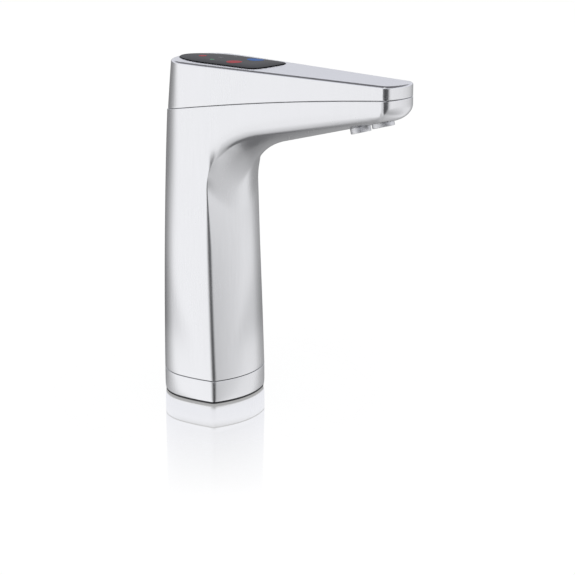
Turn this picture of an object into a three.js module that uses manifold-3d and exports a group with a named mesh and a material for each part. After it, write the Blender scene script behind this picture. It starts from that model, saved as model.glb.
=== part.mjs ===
// A boiling water tap in millimetres, +Z up. The origin is on the worktop, on the axis that the
// spout swivels about. The spout reaches towards -Y. "reach" below is the distance forward of
// that axis (-y), "side" is x, and every outline is symmetric about side 0.
import * as THREE from "three";
import { mergeVertices } from "three/addons/utils/BufferGeometryUtils.js";
import Module from "manifold-3d";

const wasm = await Module();
wasm.setup();

// ---- driving dimensions -------------------------------------------------------------------
const GAP = 0.3; // air left between two pieces that touch
const TURN = 24; // facets round a turned piece

// outer form of the casting and its cover
const topHeight = 195.5; // flat top over the worktop, at the swivel axis
const topFall = 0.018; // fall of the flat top for each millimetre of reach
const widestReach = -3; // where the plan is widest: centre of the rounded back
const footHalfWidth = 26.1;
const armHalfWidth = 23.03;
const flareEnd = 165; // height at which the column has narrowed to the arm
const footTaper = 0.224; // how fast the sides close towards the front, low down
const armTaper = 0.084; // and along the arm
const taperBlend = 20; // length over which the rounded back turns into that taper
const backDepth = 27.2; // from the widest section to the back, at the foot
const backLean = 7.7; // how far the back has come forward at the top
const backLeanPower = 3.5;
const creaseReach = 19.5; // front corners of the column at the foot
const frontLean = 0.035; // lean of the column's front for each millimetre of height
const frontBulge = 6; // crown of the column's front over its corners
const cornerRow = { level: 171, at: 77.7, rise: 0.205, fillet: 30, end: 128.6, round: 1 };
const crownRow = { level: 161.2, at: 80, rise: 0.261, fillet: 39, end: 134.2, round: 9 };
const edgeRound = 1.3; // top edge of the cover
const seamStart = { reach: -7.5, level: 169 }; // line where the cover parts from the casting
const seamRun = 137.8;
const seamRise = 22.6;
const seamSag = 6;
const seamGap = 0.4;
const coverStep = 0.8; // the cover sits this far inside the casting at the back
const coverLean = 0.04; // and leans in by this much more for each millimetre of height
const coverSideStep = 0.12;
const wall = 3;
const coverWall = 2.5;
const coverTop = 3.4; // thickness of the cover's flat top
const hook = { width: 6, thick: 1.8, height: 17 }; // at the back of the cover, inside the casting

// foot, swivel and deck fixing
const sealThick = 1.5;
const ringTop = 13.7;
const columnFoot = 14;
const ringTuck = 0.6; // how far the foot ring draws in at its lower edge
const flangeRadius = 22.5;
const flangeTop = 10.5;
const postRadius = 13;
const postBore = 10;
const postTop = 68;
const hubBore = 16.3;
const hubTop = 62;
const shankRadius = 16;
const shankBore = 12;
const shankFoot = -58;
const shankTop = 7;
const shankPlay = 0.6; // round the shank in the seal and the washers
const worktop = 20; // thickness of the worktop that the fixing is drawn up to
const rubberThick = 3;
const washerThick = 2.5;
const washerRadius = 26;
const nutAcross = 42;
const nutHeight = 8;
const swivelHalf = 90; // degrees each way
const stopRadius = 19.5;
const pinRadius = 1.2;
const pinTop = 21.7;
const bushPlay = 0.15; // on the post, and a little more in the hub
const bushRadius = 16.1;
const lowerBushTop = 24;
const upperBushFoot = 50;
const frictionLevel = 37;
const groove = { low: 63.5, high: 65.3, depth: 1 }; // for the spring ring

// water ways
const tubeRadius = 4;
const tubeBore = 3.1;
const tubeSide = 4.9;
const tubeFoot = -66;
const tubeBend = 24;
const tubeLift = 8.5; // tube axis over the arm's underside
const leadRadius = 1.75;
const leadReach = -7.6;
const outletBlockSize = { width: 17, length: 24, height: 8.6 };
const blockLift = wall + 2.9; // of the block's underside over the arm's

// outlet
const outletReach = 105;
const collarRadius = 5.6;
const collarDrop = 2.9; // below the arm's underside
const pocketDepth = 0.8; // of the pockets that the collar and the plate sit in
const plateBack = 9; // from the outlet's axis to the back of the plate
const plateFront = 22;
const plateHalf = 5.2;
const plateProud = 2.2;
const spigot = { radius: 4.4, hole: 4.8, bore: 3.4, top: 6.5 }; // of the collar, up into the block
const lipDepth = 1.4; // of the flow insert in the collar's mouth
const insertRadius = 3.95;
const insertThick = 0.8;
const screw = { reach: 121, shank: 1.3, hole: 1.6, head: 2.8, headHole: 3.1, boss: 4.6, length: 14.8 };
const screwSeat = 4.2; // of the head's hole over the arm's underside
const bossTop = 9;

// touch panel
const panelTail = 15.5; // reach behind the axis
const panelMiddle = 8; // where its rounded back ends and its sides begin
const panelNose = 43.4;
const panelHalf = 16.7;
const panelNoseHalf = 15.8;
const panelShoulder = 37; // reach at which the sides turn in to the nose
const panelSink = 0.8; // depth of the lens below the flat top
const panelProud = 0.9;
const panelCrown = 0.4;
const windowInset = 3;

// ---- finishes -----------------------------------------------------------------------------
const brushed = { color: 0xcfd1d6, roughness: 0.3, metalness: 1 };
const polished = { color: 0xe2e4e8, roughness: 0.08, metalness: 1 };
const steel = { color: 0xb9bcc2, roughness: 0.35, metalness: 1 };
const brass = { color: 0xb9954f, roughness: 0.35, metalness: 1 };
const copper = { color: 0xb87348, roughness: 0.3, metalness: 1 };
const blackGloss = { color: 0x15161a, roughness: 0.08, metalness: 0 };
const blackRubber = { color: 0x17181a, roughness: 0.7, metalness: 0 };
const whitePlastic = { color: 0xe6e5e0, roughness: 0.5, metalness: 0 };
const greyPlastic = { color: 0x6b6e72, roughness: 0.5, metalness: 0 };
const boardGreen = { color: 0x1c5a38, roughness: 0.5, metalness: 0 };
const red = { color: 0xc3202b, roughness: 0.2, metalness: 0 };
const blue = { color: 0x1f5fb4, roughness: 0.2, metalness: 0 };
const green = { color: 0x2f9a5a, roughness: 0.2, metalness: 0 };

// ---- solids -------------------------------------------------------------------------------
function solidOf(geometry) {
  const bare = geometry.index ? geometry.toNonIndexed() : geometry.clone();
  const positions = new THREE.BufferGeometry();
  positions.setAttribute("position", bare.getAttribute("position"));
  const merged = mergeVertices(positions, 1e-3);
  const kept = [];
  for (let i = 0; i < merged.index.count; i += 3) {
    const [a, b, c] = [0, 1, 2].map((n) => merged.index.getX(i + n));
    if (a !== b && b !== c && c !== a) kept.push(a, b, c);
  }
  const meshOf = (triVerts) =>
    new wasm.Mesh({ numProp: 3, vertProperties: merged.attributes.position.array, triVerts });
  const made = new wasm.Manifold(meshOf(new Uint32Array(kept)));
  if (made.volume() > 0) return made;
  return new wasm.Manifold(meshOf(new Uint32Array(kept.reverse())));
}

function geometryOf(solid) {
  const mesh = solid.getMesh();
  const made = new THREE.BufferGeometry();
  const points = [];
  for (let i = 0; i < mesh.vertProperties.length; i += mesh.numProp) {
    points.push(...mesh.vertProperties.slice(i, i + 3));
  }
  made.setAttribute("position", new THREE.Float32BufferAttribute(points, 3));
  made.setIndex([...mesh.triVerts]);
  const flat = made.toNonIndexed();
  flat.computeVertexNormals();
  return flat;
}

function cut(geometry, ...tools) {
  return geometryOf(tools.reduce((solid, tool) => solid.subtract(solidOf(tool)), solidOf(geometry)));
}

function join(...geometries) {
  return geometryOf(geometries.map(solidOf).reduce((a, b) => a.add(b)));
}

function common(a, b) {
  return geometryOf(solidOf(a).intersect(solidOf(b)));
}

function piece(name, geometry, finish) {
  const made = new THREE.Mesh(geometry, new THREE.MeshStandardMaterial(finish));
  made.name = name;
  return made;
}

// A closed profile of [radius, z] corners, turned about Z.
function turned(corners, facets = TURN) {
  const loop = [...corners, corners[0]].map(([r, z]) => new THREE.Vector2(r, z));
  return new THREE.LatheGeometry(loop, facets).rotateX(Math.PI / 2);
}

function tubeRing(inner, outer, low, high, facets = TURN) {
  return turned([[inner, low], [outer, low], [outer, high], [inner, high]], facets);
}

function rod(radius, low, high, facets = TURN) {
  const made = new THREE.CylinderGeometry(radius, radius, high - low, facets);
  return made.rotateX(Math.PI / 2).translate(0, 0, (low + high) / 2);
}

function block(width, depth, height) {
  return new THREE.BoxGeometry(width, depth, height);
}

// A flat outline in the X-Y plane, raised from low to high.
function plate(shape, low, high, curveSegments = 8) {
  const made = new THREE.ExtrudeGeometry(shape, { depth: high - low, bevelEnabled: false, curveSegments });
  return made.translate(0, 0, low);
}

// A side view outline of [reach, z] corners, carried across the tap from -half to +half.
function sideCut(corners, half) {
  const shape = new THREE.Shape(corners.map(([reach, z]) => new THREE.Vector2(reach, z)));
  const made = new THREE.ExtrudeGeometry(shape, { depth: 2 * half, bevelEnabled: false });
  made.translate(0, 0, -half);
  const forward = new THREE.Vector3(0, -1, 0);
  const up = new THREE.Vector3(0, 0, 1);
  return made.applyMatrix4(new THREE.Matrix4().makeBasis(forward, up, forward.clone().cross(up)));
}

// ---- the form -----------------------------------------------------------------------------
const at = (reach, side, z) => new THREE.Vector3(side, -reach, z);
const topAt = (reach) => topHeight - topFall * reach;
const undersideAt = (reach) => crownRow.level + crownRow.rise * (reach - crownRow.at);

// 1 at the worktop, falling to 0 where the arm begins
const flare = (z) => (1 + Math.cos((Math.PI * Math.min(z, flareEnd)) / flareEnd)) / 2;

// a distance that starts slowly, so that the side leaves the rounded back without a corner
function eased(distance) {
  if (distance <= 0) return 0;
  return distance < taperBlend ? distance ** 2 / (2 * taperBlend) : distance - taperBlend / 2;
}

function halfWidthAt(reach, z, form) {
  const share = flare(z);
  const widest = armHalfWidth + (footHalfWidth - armHalfWidth) * share;
  const taper = armTaper + (footTaper - armTaper) * share;
  return widest - taper * eased(reach - widestReach) - form.inset - form.sideStep;
}

function backDepthAt(z, form) {
  const lean = backLean * (Math.max(z, 0) / topHeight) ** backLeanPower;
  return backDepth - lean - form.inset - form.backStep(z);
}

const backRun = 40; // length of skin from the back's centre line to the widest section

// A point of the skin: run is measured forward along the skin from the widest section.
function skin(run, z, form) {
  if (run >= 0) return at(widestReach + run, halfWidthAt(widestReach + run, z, form), z);
  const turn = (1 + run / backRun) * (Math.PI / 2);
  const reach = widestReach - backDepthAt(z, form) * Math.cos(turn);
  return at(reach, halfWidthAt(widestReach, z, form) * Math.sin(turn), z);
}

// One row of the front in side view: up the column, round the fillet, along the arm's
// underside, round the tip and up its end. The inset draws it into the metal.
function frontRow(footReach, row, inset, counts, top) {
  const foot = new THREE.Vector2(footReach - inset, columnFoot);
  const climb = new THREE.Vector2(-frontLean, 1).normalize();
  const arm = new THREE.Vector2(1, row.rise).normalize();
  const level = new THREE.Vector2(row.at, row.level + inset / arm.x);
  const across = (a, b) => a.x * b.y - a.y * b.x;
  const climbed = across(level.clone().sub(foot), arm) / across(climb, arm);
  const corner = foot.clone().addScaledVector(climb, climbed);
  const round = (from, into, radius, pivot, count) => {
    const turn = Math.acos(from.dot(into));
    const start = pivot.clone().addScaledVector(from, -radius * Math.tan(turn / 2));
    const hand = Math.sign(across(from, into));
    const centre = start.clone().add(new THREE.Vector2(-from.y, from.x).multiplyScalar(radius * hand));
    return Array.from({ length: count + 1 }, (_, i) =>
      start.clone().rotateAround(centre, (hand * turn * i) / count));
  };
  const fillet = round(climb, arm, row.fillet + inset, corner, counts.fillet);
  const endReach = row.end - inset;
  const reachEnd = fillet.at(-1).clone().addScaledVector(arm, (endReach - fillet.at(-1).x) / arm.x);
  const up = new THREE.Vector2(0, 1);
  const tip = round(arm, up, Math.max(row.round - inset, 1), reachEnd, counts.tip);
  const peak = new THREE.Vector2(endReach, top(endReach));
  const straight = (from, to, count) =>
    Array.from({ length: count }, (_, i) => from.clone().lerp(to, i / count));
  return [
    ...straight(foot, fillet[0], counts.column),
    ...fillet,
    ...straight(fillet.at(-1), tip[0], counts.arm).slice(1),
    ...tip,
    ...straight(tip.at(-1), peak, counts.end).slice(1),
    peak,
  ];
}

// The whole outer form as one closed surface: a front sheet from one corner row to the other,
// two skins that run back from the corner rows, a foot and a flat top with a rounded edge.
// Across the front sheet the section is crown + (corner - crown)(1 - (1 - |x|^m)^(1/n)): a
// shallow arc that meets the sides at a crease on the column (m = 2, n = 1), and a flat belly with
// rounded edges on the arm (m = 3, n = 2). At the tip m falls to 2 again, so the end is half an
// ellipse in plan.
function wholeForm(form) {
  const counts = form.counts;
  const top = (reach) => topAt(reach) - form.topDrop - form.edge;
  const crown = frontRow(creaseReach + frontBulge, crownRow, form.inset, counts, top);
  const corner = frontRow(creaseReach, cornerRow, form.inset, counts, top);
  const last = crown.length - 1;
  const armStart = counts.column + counts.fillet;
  const xs = Array.from({ length: 2 * counts.half + 1 }, (_, j) =>
    Math.sin((Math.PI / 2) * ((j - counts.half) / counts.half)));
  const softness = (i) => THREE.MathUtils.smoothstep(i, counts.column, counts.column + 0.8 * counts.fillet);

  const sheetPoint = (i, x, level) => {
    const soft = softness(i);
    const blunt = THREE.MathUtils.smoothstep(i, last - counts.end - counts.tip, last - counts.end);
    const away = Math.abs(x) ** (2 + soft * (1 - blunt));
    const share = 1 - (1 - away) ** (1 / (1 + soft));
    const reach = THREE.MathUtils.lerp(crown[i].x, corner[i].x, share) - level.draw;
    const z = THREE.MathUtils.lerp(crown[i].y, corner[i].y, share) + level.lift;
    const inner = { ...form, inset: form.inset + level.draw };
    return at(reach, x * halfWidthAt(corner[i].x, corner[i].y, inner), z);
  };
  const flat = { draw: 0, lift: 0 };
  const sheet = crown.map((_, i) => xs.map((x) => sheetPoint(i, x, flat)));

  // the far end of each skin row: up the centre line of the back, then along the top edge
  const backTop = counts.column + counts.backFan;
  const tipRun = corner[last].x - widestReach;
  const farEnd = (i) => {
    if (i <= counts.column) return [-backRun, corner[i].y];
    if (i === backTop) return [-backRun, null];
    if (i < backTop) {
      const share = (i - counts.column) / counts.backFan;
      return [-backRun, THREE.MathUtils.lerp(corner[counts.column].y, topHeight, share)];
    }
    const armRun = corner[armStart].x - widestReach;
    const widest = backTop + counts.backTurn;
    if (i <= widest) return [THREE.MathUtils.mapLinear(i, backTop, widest, -backRun, 0), null];
    if (i <= armStart) return [THREE.MathUtils.mapLinear(i, widest, armStart, 0, armRun), null];
    return [THREE.MathUtils.mapLinear(i, armStart, last, armRun, tipRun), null];
  };
  const onTop = (run, level) => {
    const inner = { ...form, inset: form.inset + level.draw };
    const forward = Math.min(run, tipRun - level.draw);
    const flatPoint = skin(forward, topHeight, inner);
    return flatPoint.setZ(top(-flatPoint.y) + level.lift);
  };
  const skinRow = (i) => {
    const [run, z] = farEnd(i);
    const startRun = corner[i].x - widestReach;
    const endZ = z ?? onTop(run, flat).z;
    const half = Math.round(counts.skin * 0.42);
    const middle = run < 0 ? startRun / (startRun - run) : 0.42;
    return Array.from({ length: counts.skin + 1 }, (_, k) => {
      if (k === counts.skin && z === null) return onTop(run, flat);
      const share = k <= half
        ? (middle * k) / half
        : THREE.MathUtils.mapLinear(k, half, counts.skin, middle, 1);
      return skin(THREE.MathUtils.lerp(startRun, run, share),
        THREE.MathUtils.lerp(corner[i].y, endZ, share), form);
    });
  };
  const right = crown.map((_, i) => skinRow(i));
  const mirrored = (p) => p.clone().setX(-p.x);

  const triangles = [];
  const quad = (a, b, c, d) => triangles.push(a, b, c, a, c, d);
  const onBothSides = (a, b, c, d) => {
    quad(a, b, c, d);
    quad(...[d, c, b, a].map(mirrored));
  };
  for (let i = 0; i < last; i++) {
    for (let j = 0; j < xs.length - 1; j++) {
      quad(sheet[i][j], sheet[i][j + 1], sheet[i + 1][j + 1], sheet[i + 1][j]);
    }
    for (let k = 0; k < counts.skin; k++) {
      onBothSides(right[i][k], right[i][k + 1], right[i + 1][k + 1], right[i + 1][k]);
    }
  }

  // the rounded top edge, then the flat top inside it
  const levels = Array.from({ length: counts.edge + 1 }, (_, e) => {
    const turn = counts.edge ? ((Math.PI / 2) * e) / counts.edge : 0;
    return { draw: form.edge * (1 - Math.cos(turn)), lift: form.edge * Math.sin(turn) };
  });
  const edgeRight = levels.map((level) =>
    crown.map((_, i) => (i < backTop ? null : onTop(farEnd(i)[0] ?? 0, level))));
  const edgeFront = levels.map((level) => xs.map((x) => sheetPoint(last, x, level)));
  levels.forEach((_, e) => {
    edgeRight[e][last] = edgeFront[e].at(-1);
    edgeRight[e][backTop] = edgeRight[e][backTop].setX(0);
  });
  for (let e = 0; e < counts.edge; e++) {
    for (let i = backTop; i < last; i++) {
      onBothSides(edgeRight[e][i], edgeRight[e + 1][i], edgeRight[e + 1][i + 1], edgeRight[e][i + 1]);
    }
    for (let j = 0; j < xs.length - 1; j++) {
      quad(edgeFront[e][j], edgeFront[e][j + 1], edgeFront[e + 1][j + 1], edgeFront[e + 1][j]);
    }
  }
  // a flat face, in strips from side to side and a fan at its front
  const lid = (edge, front, upward) => {
    const start = triangles.length;
    for (let i = 0; i < edge.length - 2; i++) {
      quad(mirrored(edge[i]), mirrored(edge[i + 1]), edge[i + 1], edge[i]);
    }
    const pivot = edge.at(-2);
    triangles.push(pivot, mirrored(pivot), front[0]);
    for (let j = 0; j < front.length - 1; j++) triangles.push(pivot, front[j], front[j + 1]);
    if (!upward) triangles.push(...triangles.splice(start).reverse());
  };
  lid(edgeRight.at(-1).slice(backTop), edgeFront.at(-1), true);
  lid(right[0].slice().reverse(), sheet[0], false);

  return new THREE.BufferGeometry().setFromPoints(triangles);
}

const outerCounts = {
  column: 6, fillet: 11, arm: 5, tip: 4, end: 2, half: 7, skin: 11, backFan: 2, backTurn: 7, edge: 2,
};
const innerCounts = {
  column: 4, fillet: 8, arm: 4, tip: 2, end: 1, half: 5, skin: 9, backFan: 2, backTurn: 5, edge: 0,
};
const still = () => 0;
const castingForm = { inset: 0, sideStep: 0, backStep: still, edge: 0.5, topDrop: 0, counts: outerCounts };
const coverBack = (z) => coverStep + coverLean * Math.max(z - seamStart.level, 0);
const coverForm = {
  inset: 0, sideStep: coverSideStep, backStep: coverBack, edge: edgeRound, topDrop: 0, counts: outerCounts,
};
const hollowOf = (form, thick, drop) =>
  ({ ...form, inset: thick, topDrop: drop, edge: 0, counts: innerCounts });

// Everything under the seam line, shifted up by lift.
function underSeam(lift) {
  const line = [];
  for (let reach = -42; reach <= 150; reach += 12) {
    const share = (reach - seamStart.reach) / seamRun;
    line.push([reach, seamStart.level + seamRise * share - seamSag * share ** 2 + lift]);
  }
  return sideCut([...line, [150, -20], [-42, -20]], 40);
}

// ---- the outlet's own frame: origin on the arm's underside, -Z out of the spout -------------
const armSlope = Math.atan(crownRow.rise);
const outletFrame = new THREE.Matrix4()
  .makeTranslation(0, -outletReach, undersideAt(outletReach))
  .multiply(new THREE.Matrix4().makeRotationX(-armSlope));
const atOutlet = (geometry) => geometry.applyMatrix4(outletFrame);

// Plan of the plate in front of the outlet, which hides the cover's screw: half a circle at the
// back and a slightly longer round nose.
function plateOutline(grow) {
  const half = plateHalf + grow;
  const centre = -plateBack - plateHalf;
  const nose = plateFront + centre + grow;
  const shape = new THREE.Shape();
  shape.absarc(0, centre, half, 0, Math.PI, false);
  shape.absellipse(0, centre, half, nose, Math.PI, 2 * Math.PI, false, 0);
  return shape;
}

// ---- the touch panel's frame: origin on the flat top over the axis ---------------------------
const topFrame = new THREE.Matrix4()
  .makeTranslation(0, 0, topHeight)
  .multiply(new THREE.Matrix4().makeRotationX(Math.atan(topFall)));
const onTopFrame = (geometry) => geometry.applyMatrix4(topFrame);

// Half an ellipse at the back, nearly straight sides, and two cubic curves round a blunt nose.
function panelOutline(inset) {
  const half = panelHalf - inset;
  const noseHalf = panelNoseHalf - inset;
  const nose = panelNose - inset;
  const shoulder = panelShoulder - inset;
  const shape = new THREE.Shape();
  shape.absellipse(0, -panelMiddle, half, panelTail + panelMiddle - inset, 0, Math.PI, false, 0);
  shape.lineTo(-noseHalf, -shoulder);
  shape.bezierCurveTo(-noseHalf, -nose, -noseHalf * 0.57, -nose, 0, -nose);
  shape.bezierCurveTo(noseHalf * 0.57, -nose, noseHalf, -nose, noseHalf, -shoulder);
  return shape;
}

const marks = [
  { name: "boil_mark", side: -7.7, reach: 24, radius: 4, finish: red },
  { name: "chill_mark", side: 7.9, reach: 25.7, radius: 4.3, finish: blue },
  { name: "lock_mark", side: -1.1, reach: -5.7, radius: 1.8, finish: red },
  { name: "ready_light", side: -9.6, reach: 8.1, radius: 1.2, finish: green },
];
const markFloor = panelProud + panelCrown - 0.75; // underside of the inlays over the flat top
const markPlay = 0.12;

// ---- pieces -------------------------------------------------------------------------------
function columnBody() {
  const under = undersideAt(screw.reach);
  const outer = common(wholeForm(castingForm), underSeam(-seamGap / 2));
  const hollow = cut(wholeForm(hollowOf(castingForm, wall, coverTop)), block(90, 90, 2 * hubTop));
  const bore = rod(hubBore, 0, hubTop + 1);
  const pinHole = rod(pinRadius + GAP, 0, pinTop + GAP, 12).translate(0, stopRadius, 0);
  const platePocket = atOutlet(plate(plateOutline(GAP), -3, pocketDepth, 6));
  const collarPocket = atOutlet(rod(collarRadius + GAP, -3, pocketDepth, 20));
  const spigotHole = atOutlet(rod(spigot.hole, -3, wall + 1.5, 20));
  const boss = rod(screw.boss, under + wall / 2, under + bossTop, 16).translate(0, -screw.reach, 0);
  const screwHole = rod(screw.hole, 160, topHeight, 12).translate(0, -screw.reach, 0);
  const headHole = rod(screw.headHole, 160, under + screwSeat, 16).translate(0, -screw.reach, 0);
  const shell = cut(outer, hollow, bore, pinHole);
  return cut(join(shell, boss), platePocket, collarPocket, spigotHole, screwHole, headHole);
}

function topCover() {
  const outer = cut(wholeForm(coverForm), underSeam(seamGap / 2));
  const hollow = wholeForm(hollowOf(coverForm, coverWall, coverTop));
  const bossFoot = undersideAt(screw.reach) + bossTop + GAP;
  const boss = rod(screw.boss - 0.4, bossFoot, topAt(screw.reach) - 2, 16).translate(0, -screw.reach, 0);
  const screwHole = rod(screw.hole, 160, bossFoot + 8.3, 12).translate(0, -screw.reach, 0);
  const hookBack = backDepthAt(seamStart.level, castingForm) - widestReach - wall - GAP;
  const hookMiddle = hookBack - hook.thick / 2 - 0.6;
  const tongue = block(hook.width, hook.thick, hook.height).translate(0, hookMiddle, seamStart.level + 3);
  const recess = onTopFrame(plate(panelOutline(-0.25), -panelSink - 1, 5));
  const opening = onTopFrame(plate(panelOutline(windowInset), -9, 5));
  return cut(join(cut(outer, hollow), boss, tongue), screwHole, recess, opening);
}

// The lens: an upright edge, a small round, then a low dome.
function lensSolid() {
  const levels = [
    [0, -panelSink], [0, panelProud - 0.5], [0.15, panelProud - 0.15], [0.5, panelProud],
    [3, panelProud + panelCrown * 0.42], [6.5, panelProud + panelCrown * 0.82], [11, panelProud + panelCrown],
  ];
  return stacked(levels.map(([inset, z]) =>
    panelOutline(inset).getPoints(7).slice(0, -1).map((p) => new THREE.Vector3(p.x, p.y, z))));
}

function touchPanel() {
  const pockets = marks.map((mark) =>
    rod(mark.radius + markPlay, markFloor - markPlay, 6, 20).translate(mark.side, -mark.reach, 0));
  return onTopFrame(cut(lensSolid(), ...pockets));
}

// A coloured inlay, cut flush with the dome.
function touchMark(mark) {
  const peg = rod(mark.radius, markFloor, 6, 20).translate(mark.side, -mark.reach, 0);
  return onTopFrame(common(lensSolid(), peg));
}

function panelGasket() {
  const ring = panelOutline(0.4);
  ring.holes.push(panelOutline(windowInset - 0.4));
  return onTopFrame(plate(ring, -panelSink - 0.8, -panelSink - 0.2));
}

function touchBoard() {
  return onTopFrame(plate(panelOutline(windowInset + 0.6), -panelSink - 2.1, -panelSink - 0.3));
}

function boardSocket() {
  return onTopFrame(block(9, 6, 4).translate(0, 0, -panelSink - 2.3 - 2));
}

// A round section carried along a path.
function sweep(radius, bore, path, steps, facets) {
  const section = new THREE.Shape().absarc(0, 0, radius, 0, 2 * Math.PI, false);
  if (bore) section.holes.push(new THREE.Path().absarc(0, 0, bore, 0, 2 * Math.PI, true));
  return new THREE.ExtrudeGeometry(section, { steps, extrudePath: path, curveSegments: facets });
}

// Up through the post, round into the arm and along over its underside to the outlet block.
function waterTube(side) {
  const riseAt = (reach) => undersideAt(reach) + tubeLift / Math.cos(armSlope);
  const bendHalf = tubeBend * Math.tan((Math.PI / 2 - armSlope) / 2);
  const point = (reach, z) => at(reach, side, z);
  const blockEntry = outletReach - 15;
  const path = new THREE.CurvePath();
  const bendStart = point(0, riseAt(0) - bendHalf);
  const bendEnd = point(bendHalf * Math.cos(armSlope), riseAt(bendHalf * Math.cos(armSlope)));
  path.add(new THREE.LineCurve3(point(0, tubeFoot), bendStart));
  path.add(new THREE.QuadraticBezierCurve3(bendStart, point(0, riseAt(0)), bendEnd));
  path.add(new THREE.LineCurve3(bendEnd, point(blockEntry, riseAt(blockEntry))));
  return sweep(tubeRadius, tubeBore, path, 24, 4);
}

function signalLead() {
  const path = new THREE.CatmullRomCurve3([
    at(0, 0, topHeight - 8.4), at(0, 0, topHeight - 14), at(-3, 0, 165), at(leadReach, 0, 140),
    at(leadReach, 0, 60), at(leadReach, 0, tubeFoot + 4),
  ]);
  return sweep(leadRadius, 0, path, 24, 4);
}

// The two tubes end in it, and a channel from each leads into the one above the collar.
function outletBlock() {
  const { width, length, height } = outletBlockSize;
  const body = block(width, length, height).translate(0, 0, blockLift + height / 2);
  const socket = rod(spigot.hole, 0, blockLift + 2.8, 20);
  const channel = rod(2.6, 0, blockLift + 4.8, 12);
  const tubeHole = (side) =>
    new THREE.CylinderGeometry(tubeRadius + 0.25, tubeRadius + 0.25, 8, 16).translate(side, 12.5, tubeLift);
  const cross = (side) => {
    const made = new THREE.CylinderGeometry(1.4, 1.4, 9, 8);
    return made.rotateZ(side > 0 ? -0.55 : 0.55).translate(side * 0.55, 5.6, tubeLift);
  };
  return atOutlet(cut(body, socket, channel,
    tubeHole(tubeSide), tubeHole(-tubeSide), cross(tubeSide), cross(-tubeSide)));
}

function outletSeal() {
  return atOutlet(tubeRing(2.9, spigot.radius, spigot.top + GAP, blockLift + 2.5, 20));
}

function outletPlate() {
  return atOutlet(plate(plateOutline(0), -plateProud, pocketDepth - GAP));
}

function outletCollar() {
  const bevel = 0.4;
  const lip = insertRadius + 0.25;
  const ledge = pocketDepth - GAP;
  return atOutlet(turned([
    [spigot.bore, spigot.top], [spigot.bore, -lipDepth], [lip, -lipDepth], [lip, -collarDrop],
    [collarRadius - bevel, -collarDrop], [collarRadius, bevel - collarDrop], [collarRadius, ledge],
    [spigot.radius, ledge], [spigot.radius, spigot.top],
  ]));
}

// A disc of small holes that straightens the stream: one in the middle and six round it.
function flowInsert() {
  const high = -lipDepth - GAP;
  const disc = rod(insertRadius, high - insertThick, high);
  const hole = () => rod(0.7, -4, 0, 8);
  const ring = Array.from({ length: 6 }, (_, i) => hole().translate(2.4, 0, 0).rotateZ((i * Math.PI) / 3));
  return atOutlet(cut(disc, hole(), ...ring));
}

// Its head sits in the casting behind the outlet's plate, and its shank runs up into the cover.
function coverScrew() {
  const headLow = undersideAt(screw.reach) + screwSeat - 2.3;
  const headHigh = headLow + 2;
  return turned([
    [0, headLow + 0.9], [1.2, headLow], [screw.head - 0.4, headLow], [screw.head, headLow + 0.5],
    [screw.head, headHigh], [screw.shank, headHigh], [screw.shank, headLow + screw.length - 0.8],
    [0, headLow + screw.length],
  ], 16).translate(0, -screw.reach, 0);
}

// ---- foot and swivel ----------------------------------------------------------------------
// Plan of the foot at a height, drawn in by an inset.
function footOutline(z, inset) {
  const form = { ...castingForm, inset };
  const crease = creaseReach - inset;
  const half = halfWidthAt(creaseReach, z, form);
  const points = [];
  const frontSteps = 12;
  for (let i = 0; i <= frontSteps; i++) {
    const x = (2 * i) / frontSteps - 1;
    points.push(at(crease + frontBulge * (1 - x * x), x * half, z));
  }
  const sideSteps = 14;
  const run = crease - widestReach;
  for (let i = 1; i <= sideSteps; i++) points.push(skin(run - ((run + backRun) * i) / sideSteps, z, form));
  for (let i = sideSteps - 1; i >= 1; i--) {
    const p = skin(run - ((run + backRun) * i) / sideSteps, z, form);
    points.push(p.setX(-p.x));
  }
  return points.map((p) => new THREE.Vector2(p.x, p.y));
}

// The foot ring is stacked from three slices, so that it tucks in towards the seal.
function baseRing() {
  const low = sealThick + GAP;
  const outlines = [[low, ringTuck], [low + 1, 0.25], [low + 3.5, 0.05], [ringTop, 0]];
  const rings = outlines.map(([z, inset]) =>
    footOutline(columnFoot, inset).map((p) => new THREE.Vector3(p.x, p.y, z)));
  return cut(stacked(rings), rod(flangeRadius + GAP, -1, 20));
}

// A closed solid through rings of points, one above the other.
function stacked(rings) {
  const triangles = [];
  const count = rings[0].length;
  for (let level = 0; level < rings.length - 1; level++) {
    for (let i = 0; i < count; i++) {
      const [a, b] = [rings[level][i], rings[level][(i + 1) % count]];
      const [c, d] = [rings[level + 1][(i + 1) % count], rings[level + 1][i]];
      triangles.push(a, b, c, a, c, d);
    }
  }
  const lid = (ring, upward) => {
    const flat = ring.map((p) => new THREE.Vector2(p.x, p.y));
    const faces = THREE.ShapeUtils.triangulateShape(flat, []);
    const area = faces.reduce((sum, face) => sum + THREE.ShapeUtils.area(face.map((n) => flat[n])), 0);
    for (const face of faces) {
      triangles.push(...(area > 0 === upward ? face : face.slice().reverse()).map((n) => ring[n]));
    }
  };
  lid(rings[0], false);
  lid(rings.at(-1), true);
  return new THREE.BufferGeometry().setFromPoints(triangles);
}

function baseSeal() {
  const outline = new THREE.Shape(footOutline(columnFoot, ringTuck + 0.3));
  return cut(plate(outline, 0, sealThick), rod(shankRadius + shankPlay, -1, 5));
}

// Flange with the stop slot, and the post that the spout turns on, in one turning.
function swivelPost() {
  const body = turned([
    [shankRadius + GAP, sealThick + GAP], [flangeRadius, sealThick + GAP], [flangeRadius, flangeTop],
    [postRadius, flangeTop], [postRadius, groove.low], [postRadius - groove.depth, groove.low],
    [postRadius - groove.depth, groove.high], [postRadius, groove.high], [postRadius, postTop - 1],
    [postRadius - 1, postTop], [postBore, postTop], [postBore, shankTop + GAP],
    [shankRadius + GAP, shankTop + GAP],
  ]);
  return cut(body, stopSlot());
}

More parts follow.
